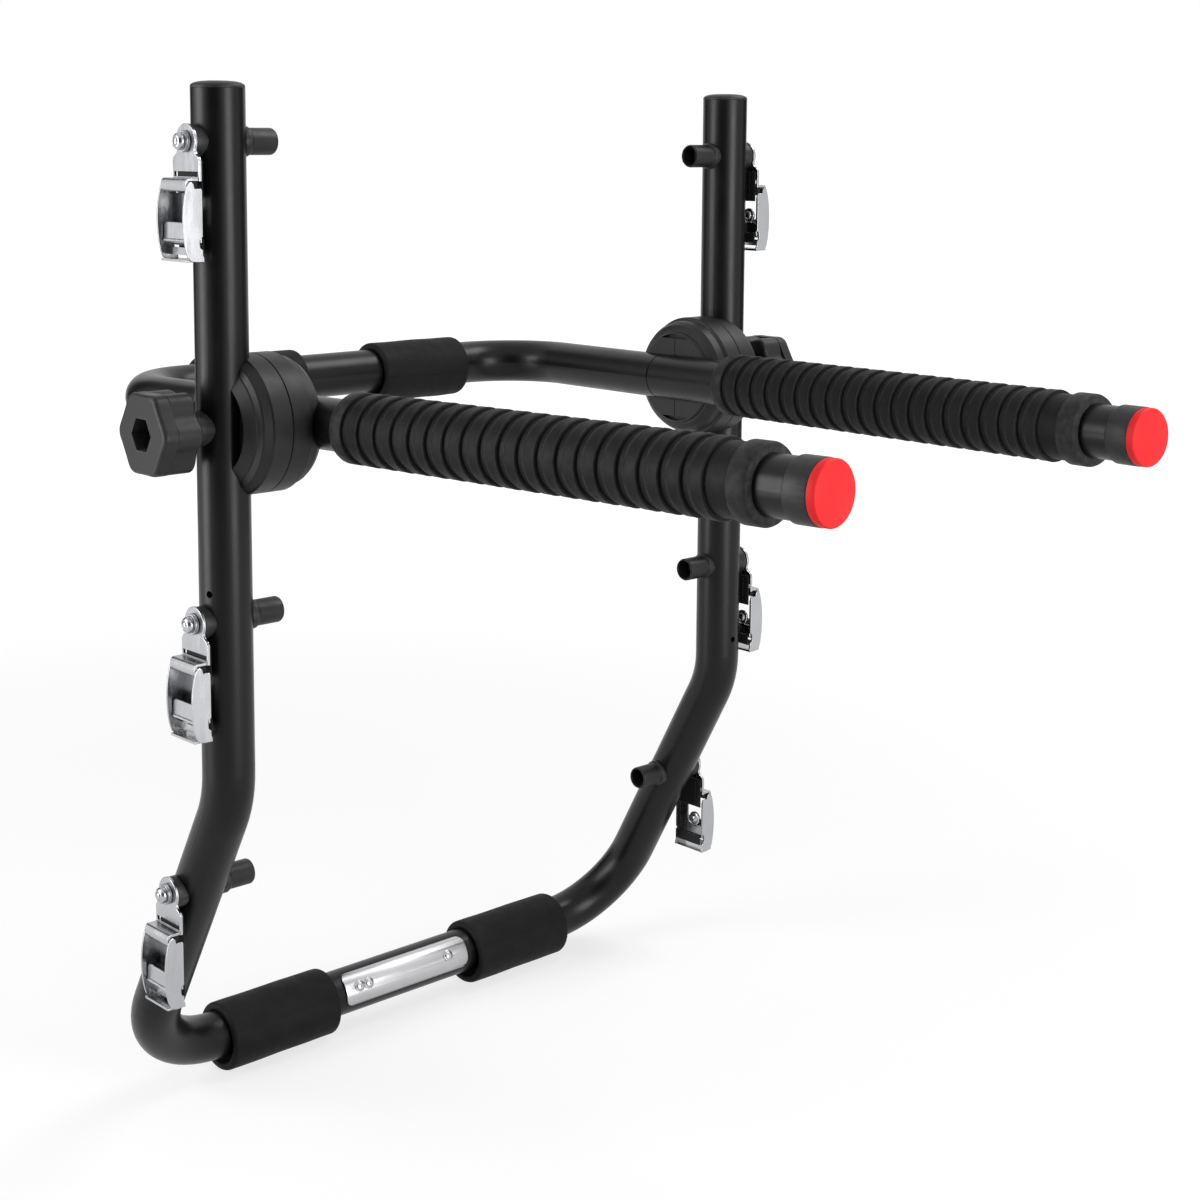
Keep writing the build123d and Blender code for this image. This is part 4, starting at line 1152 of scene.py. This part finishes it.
class CARRIER_OT_webbing(bpy.types.Operator):
    """Weave the strap ends on the buckles"""
    bl_idname = "carrier.webbing"
    bl_label = "Webbing"

    def rolled_end(self, eye, out, material):
        centre = eye + Vector((out * (TUBE_R + 7.9 * MM), 0, -23.23 * MM))
        half, end_radius, radius, wave, waves = 11.5, 0.9, 1.78, 0.1, 46
        rings = [(-half, 0), (-half, end_radius)]
        for step in range(waves + 1):
            rings.append((-half + 2 * half * step / waves, radius + wave * math.cos(math.pi * step)))
        rings += [(half, end_radius), (half, 0)]
        return new_object("roll", lathed(in_metres(rings), centre, DEPTH, UP, 32, False), material)

    def stitches(self, eye, out, y, step, material):
        thread = [(-1.1, 0), (-1.05, 0.12), (-0.8, 0.24), (0, 0.3), (0.8, 0.24), (1.05, 0.12), (1.1, 0)]
        shape = lathed(in_metres(thread), CENTRE, Vector((0, 0.12, 1)), DEPTH, 10, False)
        start = eye + Vector((out * (TUBE_R + 2.4 * MM), y, -13 * MM))
        return repeated(new_object("stitch", shape, material), 6, start, UP * -step, 0.06, 3, material)

    def execute(self, context):
        sizes = context.scene.carrier_sizes
        coat = make_finishes(context)["webbing"]
        width, thickness = 25 * MM, 1.85 * MM
        for name, out, eye in stations():
            strips = []
            for top, bottom in ((10.35, 30.8), (52.5, 59.3)):
                centre = eye + Vector((out * (TUBE_R + 3.345 * MM), 0, -(top + bottom) / 2 * MM))
                mesh = woven_strip(centre, width, thickness, (bottom - top) * MM, sizes)
                strips.append(new_object("strip", mesh, coat))
            strips.append(self.rolled_end(eye, out, coat))
            for y in (-7.6, 7.6):
                strips.append(self.stitches(eye, out, y * MM, sizes.stitch_step, coat))
            piece = smooth(joined(name + "_webbing_woven", strips), 70)
            finish_piece(piece, name + "_buckle", "webbing", name + "_buckle_webbing")
        return {"FINISHED"}


STEPS = (
    CARRIER_OT_stage, CARRIER_OT_camera, CARRIER_OT_tubes, CARRIER_OT_foam, CARRIER_OT_grips,
    CARRIER_OT_arm_ends, CARRIER_OT_hinges, CARRIER_OT_knobs, CARRIER_OT_plate, CARRIER_OT_stations,
    CARRIER_OT_buckles, CARRIER_OT_webbing,
)


class CARRIER_PT_panel(bpy.types.Panel):
    """Lists the carrier's sizes, finishes and making steps"""
    bl_idname = "CARRIER_PT_panel"
    bl_label = "Bike carrier"
    bl_space_type = "VIEW_3D"
    bl_region_type = "UI"
    bl_category = "Bike carrier"

    def draw(self, context):
        layout = self.layout
        for group in (context.scene.carrier_finish, context.scene.carrier_sizes, context.scene.carrier_stage):
            box = layout.box()
            for name in group.__annotations__:
                box.prop(group, name)
        for step in STEPS:
            layout.operator(step.bl_idname)


CLASSES = (CarrierFinish, CarrierSizes, CarrierStage) + STEPS + (CARRIER_PT_panel,)


def register():
    for kind in CLASSES:
        bpy.utils.register_class(kind)
    bpy.types.Scene.carrier_finish = PointerProperty(type=CarrierFinish)
    bpy.types.Scene.carrier_sizes = PointerProperty(type=CarrierSizes)
    bpy.types.Scene.carrier_stage = PointerProperty(type=CarrierStage)


def unregister():
    del bpy.types.Scene.carrier_stage
    del bpy.types.Scene.carrier_sizes
    del bpy.types.Scene.carrier_finish
    for kind in reversed(CLASSES):
        bpy.utils.unregister_class(kind)


def main():
    register()
    for step in STEPS:
        group, name = step.bl_idname.split(".")
        getattr(getattr(bpy.ops, group), name)()


if __name__ == "__main__":
    main()
